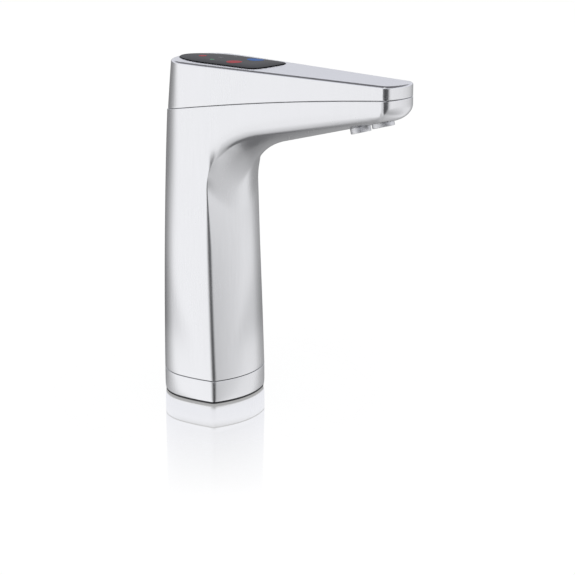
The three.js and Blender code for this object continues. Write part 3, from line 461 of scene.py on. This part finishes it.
def casting_skin(inset=0.0, foot=COLUMN_FOOT):
    """The casting's surface up to the seam, as closed rows from the back's centre line round the
    front and home again. Each row is a straight line in the unrolled side wall, on the arm a curve
    that turns the wall in under the belly, a small curve over the crease, the front sheet, and the
    same on the other side. The shares below say where along the rows the belly's curve grows, which
    row reaches the widest section, and how much of a row the curves may take. Then come a first
    guess for the back's reach and the inset by which the wall no longer turns in.
    Returns the grid of points (rows, columns, 3), the runs and the heights of the points on the
    seam, and the first row that ends there."""
    belly_start, belly_grow, widest_share = 0.2, 0.4, 0.55
    crease_most, cut_most, turn_most = 0.2, 0.6, 0.5
    back_guess, tuck_gone = -25.0, 6.0
    c = COUNTS
    seam = lambda reach: seam_at(reach) - SEAM_GAP / 2
    crown = front_row(CREASE_REACH + FRONT_BULGE, CROWN_ROW, c, seam, inset, foot)
    corner = front_row(CREASE_REACH, CORNER_ROW, c, seam, inset, foot)
    rows = len(crown)
    index = np.arange(rows)
    arm_start = c["column"] + c["fillet"]
    tip_start = rows - 1 - c["end"] - c["tip"]
    blunt = smooth((index - tip_start) / c["tip"])
    grown = (index - c["column"] - belly_start * c["fillet"]) / (belly_grow * c["fillet"])
    grow = smooth(grown) * (1 - blunt)

    # The rows' far ends go up the back's centre line and then forward along the seam.
    first = c["column"] + c["fan"]
    back_z = seam(skin(-BACK_RUN, seam_at(back_guess), inset)[0])
    tip_run = corner[-1, 0] - WIDEST_REACH
    arm_run = corner[arm_start, 0] - WIDEST_REACH
    widest = first + int(widest_share * (arm_start - first))
    run = np.interp(
        index, [0, first, widest, arm_start, rows - 1], [-BACK_RUN, -BACK_RUN, 0, arm_run, tip_run])
    z = corner[:, 1].copy()
    fan = slice(c["column"], first + 1)
    z[fan] = np.linspace(corner[c["column"], 1], back_z, c["fan"] + 1)
    for _ in range(3):
        z[first:] = seam(skin(run[first:], z[first:], inset)[0])

    start_run = corner[:, 0] - WIDEST_REACH
    length = np.hypot(start_run - run, z - corner[:, 1]) + 1e-9
    low, high = CREASE_FADE
    fade = smooth((corner[:, 1] - low) / (high - low))
    radius = CREASE_ROUND + (CREASE_SHARP - CREASE_ROUND) * fade
    radius = np.minimum(radius, crease_most * length)

    def on_skin(share):
        """Points of the unrolled wall, at a share of each row's length from the crease."""
        side_run = start_run[:, None] + (run - start_run)[:, None] * share
        side_z = corner[:, 1, None] + (z - corner[:, 1])[:, None] * share
        reach, side = skin(side_run, side_z, inset)
        return at(reach, side, side_z)

    cut = np.minimum((2 * radius + BELLY_ROUND["up"] * grow) / length, cut_most)
    turn_at = np.minimum((radius + BELLY_ROUND["pivot"] * grow) / length, turn_most * cut)
    # Where a row ends behind the widest section, half of its points lie in front of that section.
    middle = np.where(run < 0, np.clip(start_run / (start_run - run + 1e-9), 0.2, 0.8), 0.5)
    step = np.linspace(0, 1, c["skin"] + 1)
    share = np.where(step[None] < 0.5, 2 * step[None] * middle[:, None],
                     middle[:, None] + (2 * step[None] - 1) * (1 - middle[:, None]))
    right = on_skin(cut[:, None] + (1 - cut[:, None]) * share)
    turn = on_skin(turn_at[:, None])

    tuck = BELLY_ROUND["in"] * grow * (1 - inset / tuck_gone)
    half = half_width(corner[:, 0], corner[:, 1], inset + tuck)
    crease = at(corner[:, 0], half, corner[:, 1])[:, None]
    spread = np.sin(np.linspace(-1, 1, 2 * c["across"] + 1) * np.pi / 2)
    x = (1 - radius / half)[:, None] * spread[None]
    moved = front_share(x, blunt[:, None])
    sheet = at(crown[:, 0, None] + (corner[:, 0] - crown[:, 0])[:, None] * moved, x * half[:, None],
               crown[:, 1, None] + (corner[:, 1] - crown[:, 1])[:, None] * moved)

    def curve(start, pivot, stop, count):
        return parabola(start, pivot, stop, np.linspace(0, 1, count + 1)[None, :, None])

    away = turn - crease
    length_in = np.maximum(np.linalg.norm(away, axis=2, keepdims=True), 1e-12)
    onto_crease = crease + away * np.minimum(radius[:, None, None] * MM / length_in, 1.0)
    belly = curve(right[:, :1], turn, onto_crease, c["belly"])[:, 1:]
    bend = curve(onto_crease, crease, sheet[:, -1:], c["bend"])[:, 1:-1]
    flip = np.array([-1.0, 1.0, 1.0])
    half_row = np.concatenate([right[:, ::-1], belly, bend], axis=1)
    grid = np.concatenate([half_row, sheet[:, ::-1], half_row[:, ::-1] * flip], axis=1)
    return grid, run[first:], z[first:], first


def quads_of(rows, columns, closed_rows=False):
    """Corner indices of a grid's faces, with the last row joined to the first where it closes."""
    r = np.arange(rows if closed_rows else rows - 1)[:, None]
    c = np.arange(columns - 1)[None]
    here = r * columns + c
    above = ((r + 1) % rows) * columns + c
    return np.stack([here, here + 1, above + 1, above], axis=-1).reshape(-1, 4)


def solid_mesh(name, patches, material, body, replaces=()):
    """Welds grids of points into one closed mesh with outward faces, and seats it on its body.
    Each patch is (points, faces)."""
    points, faces, count = [], [], 0
    for grid, quads in patches:
        flat = np.asarray(grid, float).reshape(-1, 3)
        points.append(flat)
        faces.append(np.asarray(quads) + count)
        count += len(flat)
    points, faces = np.concatenate(points), np.concatenate(faces)
    keys = np.round(points / WELD).astype(np.int64)
    _, firsts, where = np.unique(keys, axis=0, return_index=True, return_inverse=True)
    points, faces = points[firsts], where.reshape(-1)[faces]
    tri = np.concatenate([faces[:, [0, 1, 2]], faces[:, [0, 2, 3]]])
    keep = (tri[:, 0] != tri[:, 1]) & (tri[:, 1] != tri[:, 2]) & (tri[:, 2] != tri[:, 0])
    tri = tri[keep]
    a, b, c = points[tri[:, 0]], points[tri[:, 1]], points[tri[:, 2]]
    if np.einsum("ij,ij->i", a, np.cross(b, c)).sum() < 0:
        tri = tri[:, ::-1]
    mesh = bpy.data.meshes.new(name)
    mesh.from_pydata(points.tolist(), [], tri.tolist())
    mesh.validate()
    mesh.shade_smooth()
    mesh.set_sharp_from_angle(angle=math.radians(CRISP_EDGE))
    mesh.materials.append(material)
    made = bpy.data.objects.new(name, mesh)
    bpy.context.scene.collection.objects.link(made)
    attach(made, body)
    if replaces:
        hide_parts(*replaces)
    return made


def edge_steps(radius, count):
    """Drawn-in and lifted distances round a quarter circle of the given radius."""
    turn = np.linspace(0, np.pi / 2, count + 1)[1:]
    return list(zip(radius * (1 - np.cos(turn)), radius * np.sin(turn)))


def circle(radius, z, angles):
    """Points of a circle round the swivel axis at the given angles, in metres."""
    return polar(radius, angles, z) * MM


def column_shell():
    """The casting: its outer skin, a rounded rim at the seam, an inner skin three millimetres in,
    and the solid column round the post's bore."""
    outer, run, z, first = casting_skin()
    inner = casting_skin(WALL, HUB_TOP)[0]
    rows, columns = outer.shape[:2]

    def rim(grid):
        """The open edge, from the back's centre line round the tip and home again."""
        right = grid[first:, 0]
        return np.concatenate([right, grid[-1, 1:-1], grid[first:, -1][::-1]])

    edge = rim(outer)
    lowered = outer.copy()
    lowered[first:, 0, 2] -= RIM_ROUND * MM
    lowered[first:, -1, 2] -= RIM_ROUND * MM
    lowered[-1, 1:-1, 2] -= RIM_ROUND * MM
    loops = [rim(lowered)]
    for draw, lift in edge_steps(RIM_ROUND, 4):
        r, s = skin(np.minimum(run, run[-1] - draw), z, draw)
        ring = at(r, s, z - RIM_ROUND + lift)
        front = edge[len(run):-len(run)].copy()
        front[:, 0] *= 1 - draw * MM / np.hypot(front[:, 0], 1e-3).max()
        front[:, 1] += draw * MM
        front[:, 2] += (lift - RIM_ROUND) * MM
        loops.append(np.concatenate([ring, front, ring[::-1] * [-1, 1, 1]]))
    loops.append(rim(inner))
    rim_grid = np.stack(loops)

    lowered[0, :, 2] += FOOT_ROUND * MM
    angles = np.arctan2(inner[0, :, 1], inner[0, :, 0])
    foot = [foot_loop(draw, COLUMN_FOOT + FOOT_ROUND - lift) for draw, lift in edge_steps(FOOT_ROUND, 4)]
    hub = np.stack([inner[0], circle(HUB_BORE, HUB_TOP, angles), circle(HUB_BORE, COLUMN_FOOT, angles),
                    *foot[::-1], lowered[0]])
    return [
        (lowered, quads_of(rows, columns)),
        (rim_grid, quads_of(*rim_grid.shape[:2])[:, ::-1]),
        (inner, quads_of(rows, columns)[:, ::-1]),
        (hub, quads_of(*hub.shape[:2])),
    ]


def foot_loop(inset, z):
    """The column's plan at its foot, drawn in by the inset and placed at a height."""
    loop = casting_skin(inset)[0][0].copy()
    loop[:, 2] = z * MM
    return loop


def ring_of_loops(loops):
    """A closed solid from closed loops of points, each joined to the next and the last to the first."""
    grid = np.stack(loops)
    return [(grid, quads_of(*grid.shape[:2], closed_rows=True))]


def base_ring():
    """The foot ring: the column's plan, drawing in towards the seal by a falling exponential, with a
    thin skirt that hangs over the seal."""
    low_round, fall = 0.3, 1.4
    z = np.concatenate([np.linspace(SKIRT_LOW + low_round, 7, 12), [10, RING_TOP - FOOT_ROUND]])
    wall = [(RING_TUCK * math.exp(-(h - SKIRT_LOW) / fall), h) for h in z]
    low = [(wall[0][0] + draw, SKIRT_LOW + low_round - lift) for draw, lift in edge_steps(low_round, 4)]
    high = [(wall[-1][0] + draw, RING_TOP - FOOT_ROUND + lift) for draw, lift in edge_steps(FOOT_ROUND, 4)]
    loops = [foot_loop(inset, h) for inset, h in [*low[::-1], *wall, *high]]
    angles = np.arctan2(loops[0][:, 1], loops[0][:, 0])
    bore = [circle(FLANGE_BORE, RING_TOP, angles), circle(FLANGE_BORE, RING_LOW, angles)]
    skirt = [foot_loop(SKIRT_THICK, h) for h in (RING_LOW, SKIRT_LOW)]
    return ring_of_loops([*loops, *bore, *skirt])


def base_seal():
    """The rubber seal under the ring: a lip under the skirt and a core inside it, clear of the ring
    and of the shank."""
    lip, core, bore = RING_TUCK + 0.1, SKIRT_THICK + 0.15, SHANK_RADIUS + 0.6
    soft, clear = 0.4, 0.05
    low = [(lip + draw, soft - lift) for draw, lift in edge_steps(soft, 4)]
    wall = [(lip, soft), (lip, SKIRT_LOW - clear), (core, SKIRT_LOW - clear), (core, RING_LOW - clear)]
    loops = [foot_loop(inset, h) for inset, h in [*low[::-1], *wall]]
    angles = np.arctan2(loops[0][:, 1], loops[0][:, 0])
    return ring_of_loops([*loops, circle(bore, RING_LOW - clear, angles), circle(bore, 0, angles)])


def cover_loop(inset, level):
    """The cover's plan at a height that depends on reach, from the back's centre round one side,
    the end and the other side. The height settles from a first guess in a few rounds."""
    spacing, first_guess = 0.9, 180.0
    behind = -BACK_RUN * (1 - np.linspace(0, 1, 41) ** spacing)
    runs = np.concatenate([behind, np.linspace(0, 1, 71)[1:-1]])
    end = CORNER_ROW["end"] - inset
    runs = np.where(runs > 0, runs * (end - WIDEST_REACH), runs)
    z = np.full_like(runs, first_guess)
    for _ in range(4):
        step = COVER_STEP + COVER_LEAN * np.maximum(z - SEAM_LEVEL, 0) - COVER_SIDE_STEP
        reach, side = skin(runs, z, inset + COVER_SIDE_STEP, step)
        z = level(reach)
    right = at(reach, side, z)
    x = np.sin(np.linspace(1, -1, 61) * np.pi / 2)
    half = half_width(end, COVER_END_LEVEL, inset + COVER_SIDE_STEP)
    face = CROWN_ROW["end"] - inset + (CORNER_ROW["end"] - CROWN_ROW["end"]) * front_share(x, 1.0)
    front = at(face, x * half, level(face))
    return np.concatenate([right, front, (right * [-1, 1, 1])[::-1]])


def panel_outline(inset, angles):
    """The touch panel's plan by angle round its middle: half an ellipse at the back, nearly straight
    sides, and two cubic curves round the nose."""
    half, nose_half, nose = PANEL_HALF - inset, PANEL_NOSE_HALF - inset, PANEL_NOSE - inset
    turn = np.linspace(np.pi / 2, 0, 80)
    tail = PANEL_TAIL + PANEL_BACK - inset
    back = np.stack([PANEL_BACK - tail * np.sin(turn), half * np.cos(turn)], axis=1)
    t = np.linspace(0, 1, 60)[:, None]
    shoulder, blunt = PANEL_SHOULDER - inset, nose_half * PANEL_NOSE_PULL
    p = np.array([[shoulder, nose_half], [nose, nose_half], [nose, blunt], [nose, 0.0]])
    curve = (1 - t) ** 3 * p[0] + 3 * t * (1 - t) ** 2 * p[1] + 3 * t * t * (1 - t) * p[2] + t**3 * p[3]
    line = back[-1] + (p[0] - back[-1]) * np.linspace(0, 1, 60)[1:-1, None]
    half_plan = np.concatenate([back, line, curve])
    plan = np.concatenate([half_plan, half_plan[-2:0:-1] * [1, -1]])
    bearing = np.arctan2(plan[:, 1], plan[:, 0] - PANEL_MIDDLE)
    order = np.argsort(bearing)
    radius = np.hypot(plan[:, 0] - PANEL_MIDDLE, plan[:, 1])
    r = np.interp(angles, bearing[order], radius[order], period=2 * np.pi)
    return PANEL_MIDDLE + r * np.cos(angles), r * np.sin(angles)


def top_cover():
    """The cover: its wall from the seam to a rounded top edge, the flat top, the panel's recess and
    window, and the inside."""
    seam = lambda reach: seam_at(reach) + SEAM_GAP / 2
    low = lambda reach: seam(reach) + COVER_LOW_ROUND
    high = lambda reach: top_at(reach) - EDGE_ROUND
    loops = [cover_loop(draw, lambda reach: low(reach) - lift)
             for draw, lift in edge_steps(COVER_LOW_ROUND, 4)][::-1]
    for share in np.linspace(0, 1, 16):
        loops.append(cover_loop(0, lambda reach: low(reach) + (high(reach) - low(reach)) * share))
    for draw, lift in edge_steps(EDGE_ROUND, 7):
        loops.append(cover_loop(draw, lambda reach: high(reach) + lift))
    # Two loops just inside the edge keep the flat top's shading flat.
    support = cover_loop(EDGE_ROUND + 0.5, top_at)
    loops += [cover_loop(EDGE_ROUND + 0.1, top_at), support]

    # The recess's softened edge, its floor and the window, as (inset from the panel's plan, drop).
    recess = [(-0.6, 0), (-0.4, 0), (-0.28, 0.05), (-0.25, 0.15), (-0.25, PANEL_SINK + 1),
              (WINDOW_INSET, PANEL_SINK + 1), (WINDOW_INSET, COVER_TOP)]
    angles = np.arctan2(support[:, 0], -support[:, 1] - PANEL_MIDDLE * MM)
    for inset, drop in recess:
        reach, side = panel_outline(inset, angles)
        loops.append(at(reach, side, top_at(reach) - drop))
    for share in np.linspace(0, 1, 5):
        loops.append(cover_loop(
            COVER_WALL, lambda reach: (top_at(reach) - COVER_TOP) * (1 - share) + seam(reach) * share))
    return ring_of_loops(loops)


# ---- touch panel ---------------------------------------------------------------------------------
def dome(inset):
    """Height of the lens over the flat top: an upright edge, a small round, then a parabola."""
    inset = np.asarray(inset, float)
    edge = np.clip(inset / LENS_EDGE, 0, 1)
    rise = np.clip((inset - LENS_EDGE) / LENS_RUN, 0, 1)
    rounded = PANEL_PROUD - LENS_ROUND + LENS_ROUND * np.sqrt(1 - (1 - edge) ** 2)
    return rounded + PANEL_CROWN * (1 - (1 - rise) ** 2)


def touch_lens():
    """The black lens, from its flat underside over the edge to the middle of the dome."""
    angles = np.linspace(-np.pi, np.pi, 241)
    soft, crown = 0.3, LENS_EDGE + LENS_RUN
    insets = np.concatenate([
        LENS_EDGE * (1 - np.cos(np.linspace(0, np.pi / 2, 7))), np.linspace(LENS_EDGE, crown, 22)[1:]])
    levels = [(crown, -PANEL_SINK), (soft, -PANEL_SINK), (0, -PANEL_SINK + soft)]
    loops = []
    for inset, z in [*levels, *zip(insets, dome(insets))]:
        reach, side = panel_outline(inset, angles)
        loops.append(at(reach, side, top_at(reach) + z))
    middle = lambda loop: np.broadcast_to(loop[:-1].mean(0), loop.shape)
    grid = np.stack([middle(loops[0]), *loops, middle(loops[-1])])
    return [(grid, quads_of(*grid.shape[:2]))]


def touch_mark(side, reach, radius):
    """A round inlay that follows the dome and stands a hair over it."""
    proud, thick = 0.03, 0.05
    angles = np.linspace(0, 2 * np.pi, 49)
    share = np.array([0.0, 0.3, 0.6, 0.85, 1.0])
    r = reach + radius * share[:, None] * np.cos(angles)
    s = side + radius * share[:, None] * np.sin(angles)
    outline = np.stack(panel_outline(0, np.linspace(-np.pi, np.pi, 361)), axis=-1)
    gap = np.sqrt(((np.stack([r, s], axis=-1)[:, :, None] - outline) ** 2).sum(-1)).min(-1)
    face = at(r, s, top_at(r) + dome(gap) + proud)
    back = face - np.array([0, 0, thick * MM])
    grid = np.concatenate([face, back[::-1]])
    return [(grid, quads_of(*grid.shape[:2]))]


# ---- outlet --------------------------------------------------------------------------------------
def from_outlet(points):
    """Carries points in millimetres from the outlet's frame, whose origin is on the arm's
    underside and whose -Z runs out of the spout, to the tap."""
    slope = math.atan(CROWN_ROW["rise"])
    x, y, z = np.moveaxis(np.asarray(points, float), -1, 0)
    level = CROWN_ROW["level"] + CROWN_ROW["rise"] * (OUTLET_REACH - CROWN_ROW["at"])
    turned_y = y * math.cos(slope) + z * math.sin(slope)
    turned_z = -y * math.sin(slope) + z * math.cos(slope)
    return np.stack([x, turned_y - OUTLET_REACH, turned_z + level], axis=-1) * MM


def turned(profile, facets=96):
    """A closed (radius, z) profile turned about the Z axis, in millimetres."""
    angles = np.linspace(0, 2 * np.pi, facets + 1)
    r, z = np.array(profile, float).T[:, :, None]
    grid = polar(r, angles, z)
    return grid, quads_of(*grid.shape[:2], closed_rows=True)


def softened(corners, radius, steps=4):
    """A closed profile with each corner replaced by a small parabola, whose legs take no more than a
    share of the corner's two sides."""
    most = 0.4
    corners = np.array(corners, float)
    before, after = np.roll(corners, 1, 0), np.roll(corners, -1, 0)
    out = []
    for p, a, b in zip(corners, before, after):
        la, lb = np.linalg.norm(a - p), np.linalg.norm(b - p)
        start = p + (a - p) / la * min(radius, la * most)
        stop = p + (b - p) / lb * min(radius, lb * most)
        out.append(parabola(start, p, stop, np.linspace(0, 1, steps + 1)[:, None]))
    return np.concatenate(out)


def outlet_plate():
    """The plate in front of the outlet: half a circle behind and half an ellipse in front, with a
    rounded lower edge."""
    turn = np.linspace(0, 2 * np.pi, 121)
    centre = PLATE_BACK + PLATE_HALF

    def loop(draw, z):
        length = np.where(turn < np.pi, PLATE_HALF - draw, PLATE_FRONT - centre - draw)
        across = (PLATE_HALF - draw) * np.cos(turn)
        return np.column_stack([across, length * np.sin(turn) - centre, np.full_like(turn, z)])

    soft = 0.45
    loops = [loop(PLATE_HALF, POCKET_FIT), loop(0, POCKET_FIT), loop(0, -PLATE_PROUD + soft)]
    loops += [loop(draw, -PLATE_PROUD + soft - lift) for draw, lift in edge_steps(soft, 5)]
    grid = np.stack([*loops, loop(PLATE_HALF, -PLATE_PROUD)])
    return [(from_outlet(grid), quads_of(*grid.shape[:2]))]


def outlet_collar():
    """The round collar that the water leaves by: a neck in the casting, and a wider ring below it
    with a recess in its mouth, turned and softened at its corners."""
    bore, neck, top, soft = 3.4, 4.4, 6.5, 0.35
    mouth, mouth_floor = 4.2, -1.4
    corners = [
        (bore, top), (bore, mouth_floor), (mouth, mouth_floor), (mouth, -COLLAR_DROP),
        (COLLAR_RADIUS, -COLLAR_DROP), (COLLAR_RADIUS, POCKET_FIT), (neck, POCKET_FIT), (neck, top)]
    grid, quads = turned(softened(corners, soft))
    return [(from_outlet(grid), quads)]


# ---- below the worktop ---------------------------------------------------------------------------
def thread_wave(z, angles):
    """A triangle wave from 0 to 1 that follows a single-start helix."""
    return np.abs(2 * ((z[:, None] / THREAD_PITCH - angles / (2 * np.pi)) % 1.0) - 1)


def threaded_shank():
    """A tube with a single-start thread: the radius falls in a triangle wave with flattened crests
    and roots, which follows a helix and fades out below the foot. A short cone leads in at the
    lower end."""
    lead_in, lead_in_draw, top = 1.0, 1.2, -1.5
    gain, flat = 1.25, 0.1
    fade_start, fade_run = 3.0, 3.0
    z = np.concatenate([np.linspace(SHANK_FOOT + lead_in, top, 380), [SHANK_TOP]])
    angles = np.linspace(0, 2 * np.pi, 73)
    wave = np.clip(thread_wave(z, angles) * gain - flat, 0, 1)
    fade = np.clip((-z - fade_start) / fade_run, 0, 1)[:, None]
    outer = polar(SHANK_RADIUS - THREAD_DEPTH * wave * fade, angles, z[:, None])
    radii = np.array([SHANK_BORE, SHANK_BORE, SHANK_RADIUS - lead_in_draw])[:, None]
    ends = polar(radii, angles, np.array([SHANK_TOP, SHANK_FOOT, SHANK_FOOT])[:, None])
    grid = np.concatenate([outer, ends]) * MM
    return [(grid, quads_of(*grid.shape[:2], closed_rows=True))]


def washer(inner, outer, low, high, soft):
    """A flat ring with softened edges."""
    grid, quads = turned(softened([(inner, low), (outer, low), (outer, high), (inner, high)], soft))
    return [(grid * MM, quads)]


def fixing_nut():
    """A hexagon 42 across flats whose corners are cut by a cone top and bottom, with a threaded bore."""
    cut, cone_rise, cone_run = 0.4, 2.2, 1.6
    clear, depth_of_thread = 0.25, 0.5
    angles = np.linspace(0, 2 * np.pi, 145)
    flat = NUT_HALF / np.cos((angles + np.pi / 6) % (np.pi / 3) - np.pi / 6)
    z = np.concatenate([
        [NUT_LOW], np.linspace(NUT_LOW + 0.05, NUT_LOW + cone_run, 8),
        np.linspace(NUT_HIGH - cone_run, NUT_HIGH - 0.05, 8), [NUT_HIGH]])
    cone = NUT_HALF - cut + np.minimum(z - NUT_LOW, NUT_HIGH - z) * cone_rise
    outer = polar(np.minimum(flat[None], cone[:, None]), angles, z[:, None])
    depth = np.linspace(NUT_HIGH, NUT_LOW, 60)
    bore = SHANK_RADIUS + clear + depth_of_thread * thread_wave(depth, angles)
    grid = np.concatenate([outer, polar(bore, angles, depth[:, None])]) * MM
    return [(grid, quads_of(*grid.shape[:2], closed_rows=True))]


def water_tube(side):
    """A tube up the middle of the post, round a bend and along the arm over its underside: a round
    section carried along a path that stays in one upright plane."""
    slope = math.atan(CROWN_ROW["rise"])
    lift = TUBE_LIFT / math.cos(slope)
    rise = lambda reach: CROWN_ROW["level"] + CROWN_ROW["rise"] * (reach - CROWN_ROW["at"]) + lift
    cut = TUBE_BEND * math.tan((math.pi / 2 - slope) / 2)
    end_reach = OUTLET_REACH - TUBE_STOP
    foot, a, b = np.array([0, TUBE_FOOT]), np.array([0, rise(0) - cut]), np.array([0, rise(0)])
    c = np.array([cut * math.cos(slope), rise(cut * math.cos(slope))])
    end = np.array([end_reach, rise(end_reach)])
    path = np.concatenate([
        foot + (a - foot) * np.linspace(0, 1, 12)[:-1, None],
        parabola(a, b, c, np.linspace(0, 1, 25)[:, None]),
        c + (end - c) * np.linspace(0, 1, 8)[1:, None]])
    along = np.gradient(path, axis=0)
    along /= np.linalg.norm(along, axis=1)[:, None]
    across = np.stack([-along[:, 1], along[:, 0]], axis=1)
    turn = np.linspace(0, 2 * np.pi, 33)

    def skin_of(radius, line, cross):
        reach, z = (line[:, i, None] + cross[:, i, None] * radius * np.cos(turn) for i in (0, 1))
        return at(reach, side + radius * np.sin(turn), z)

    bore = skin_of(TUBE_BORE, path[::-1], across[::-1])
    grid = np.concatenate([skin_of(TUBE_RADIUS, path, across), bore])
    return [(grid, quads_of(*grid.shape[:2], closed_rows=True))]


aim_camera()
FAR_GROUP = bearing_group("studio_far_off", FAR_OFF)
light_studio(FAR_GROUP)
hang_lamp("key_lamp", 3.0, 1.0, (-1.2, -0.4, 1.6), (0, 0, 0.1))
lay_floor(bearing_group("studio_horizon", HORIZON), bearing_group("studio_underfoot_shadow", UNDERFOOT_SHADOW), FAR_GROUP)
GRAIN = grain_group()

brushed = finish("brushed_plating", (0.90, 0.905, 0.92), 1.0, 0.26, 0.06, (1500, 1500, 60), 0.05)
satin = finish("satin_plating", (0.88, 0.885, 0.90), 1.0, 0.48, 0.06, (900, 900, 900), 0.03)
plain_steel = finish("plain_steel", (0.72, 0.73, 0.75), 1.0, 0.34, 0.12, (900, 900, 200), 0.05)
brass = finish("machined_brass", (0.76, 0.60, 0.32), 1.0, 0.32, 0.12, (200, 200, 3000), 0.08)
copper = finish("drawn_copper", (0.78, 0.47, 0.31), 1.0, 0.28, 0.12, (1200, 1200, 60), 0.04)
rubber = finish("black_rubber", (0.022, 0.022, 0.024), 0.0, 0.62, 0.2, (2500, 2500, 2500), 0.15)
lens_black = finish("black_lens", (0.012, 0.012, 0.014), 0.0, 0.16, 0.02, (150, 150, 150), 0.0, ior=1.06)
white_plastic = finish("white_plastic", (0.86, 0.85, 0.82), 0.0, 0.45, 0.1, (1500, 1500, 1500), 0.06)
grey_plastic = finish("grey_plastic", (0.40, 0.41, 0.43), 0.0, 0.45, 0.1, (1500, 1500, 1500), 0.06)
board_green = finish("board_lacquer", (0.06, 0.26, 0.13), 0.0, 0.3, 0.1, (700, 700, 700), 0.05)
ink_red = finish("red_inlay", (0.38, 0.02, 0.03), 0.0, 0.25, 0.05, (300, 300, 300), 0.0, ior=1.06)
ink_blue = finish("blue_inlay", (0.01, 0.11, 0.40), 0.0, 0.25, 0.05, (300, 300, 300), 0.0, ior=1.06)
ink_green = finish("green_inlay", (0.05, 0.26, 0.12), 0.0, 0.25, 0.05, (300, 300, 300), 0.0, ior=1.1)
ink_grey = finish("grey_inlay", (0.12, 0.12, 0.13), 0.0, 0.3, 0.05, (300, 300, 300), 0.0, ior=1.1)

solid_mesh("column_casting", column_shell(), brushed, "spout", ["column_body"])
solid_mesh("cover_shell", top_cover(), brushed, "spout", ["top_cover"])
solid_mesh("foot_ring", base_ring(), brushed, "deck", ["base_ring"])
solid_mesh("foot_seal", base_seal(), rubber, "deck", ["base_seal"])
solid_mesh("lens", touch_lens(), lens_black, "spout", ["touch_panel"])
solid_mesh("boil_inlay", touch_mark(-5.6, 22.0, 4.5), ink_red, "spout", ["boil_mark"])
solid_mesh("chill_inlay", touch_mark(9.2, 25.1, 4.9), ink_blue, "spout", ["chill_mark"])
solid_mesh("lock_inlay", touch_mark(-0.6, -5.6, 2.4), ink_red, "spout", ["lock_mark"])
solid_mesh("ready_inlay", touch_mark(-7.6, 7.4, 1.35), ink_green, "spout", ["ready_light"])
solid_mesh("faint_inlay_near", touch_mark(1.5, 6, 1.6), ink_grey, "spout")
solid_mesh("faint_inlay_far", touch_mark(9.5, 10, 1.3), ink_grey, "spout")
solid_mesh("outlet_pad", outlet_plate(), satin, "spout", ["outlet_plate"])
solid_mesh("outlet_ring", outlet_collar(), satin, "spout", ["outlet_collar"])
solid_mesh("shank_thread", threaded_shank(), brass, "deck", ["threaded_shank"])
soft_washer = washer(16.6, 25, -WORKTOP - 3, -WORKTOP, 0.4)
steel_washer = washer(16.5, 26, -WORKTOP - 5.8, -WORKTOP - 3.3, 0.3)
solid_mesh("soft_washer", soft_washer, rubber, "clamp", ["rubber_washer"])
solid_mesh("steel_washer", steel_washer, plain_steel, "clamp", ["clamp_washer"])
solid_mesh("hexagon_nut", fixing_nut(), brass, "nut", ["fixing_nut"])
solid_mesh("boiling_pipe", water_tube(-TUBE_SIDE), copper, "spout", ["boiling_tube"])
solid_mesh("chilled_pipe", water_tube(TUBE_SIDE), plain_steel, "spout", ["chilled_tube"])

NODE_FINISHES = {
    "swivel_post": brass, "outlet_block": brass, "lower_bush": white_plastic, "upper_bush": white_plastic,
    "flow_insert": white_plastic, "friction_ring": rubber, "outlet_seal": rubber, "panel_gasket": rubber,
    "thrust_washer": plain_steel, "post_circlip": plain_steel, "stop_pin": plain_steel,
    "cover_screw": plain_steel, "touch_board": board_green, "board_socket": grey_plastic,
    "signal_lead": grey_plastic,
}
for name, material in NODE_FINISHES.items():
    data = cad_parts[name].data
    data.materials.clear()
    data.materials.append(material)
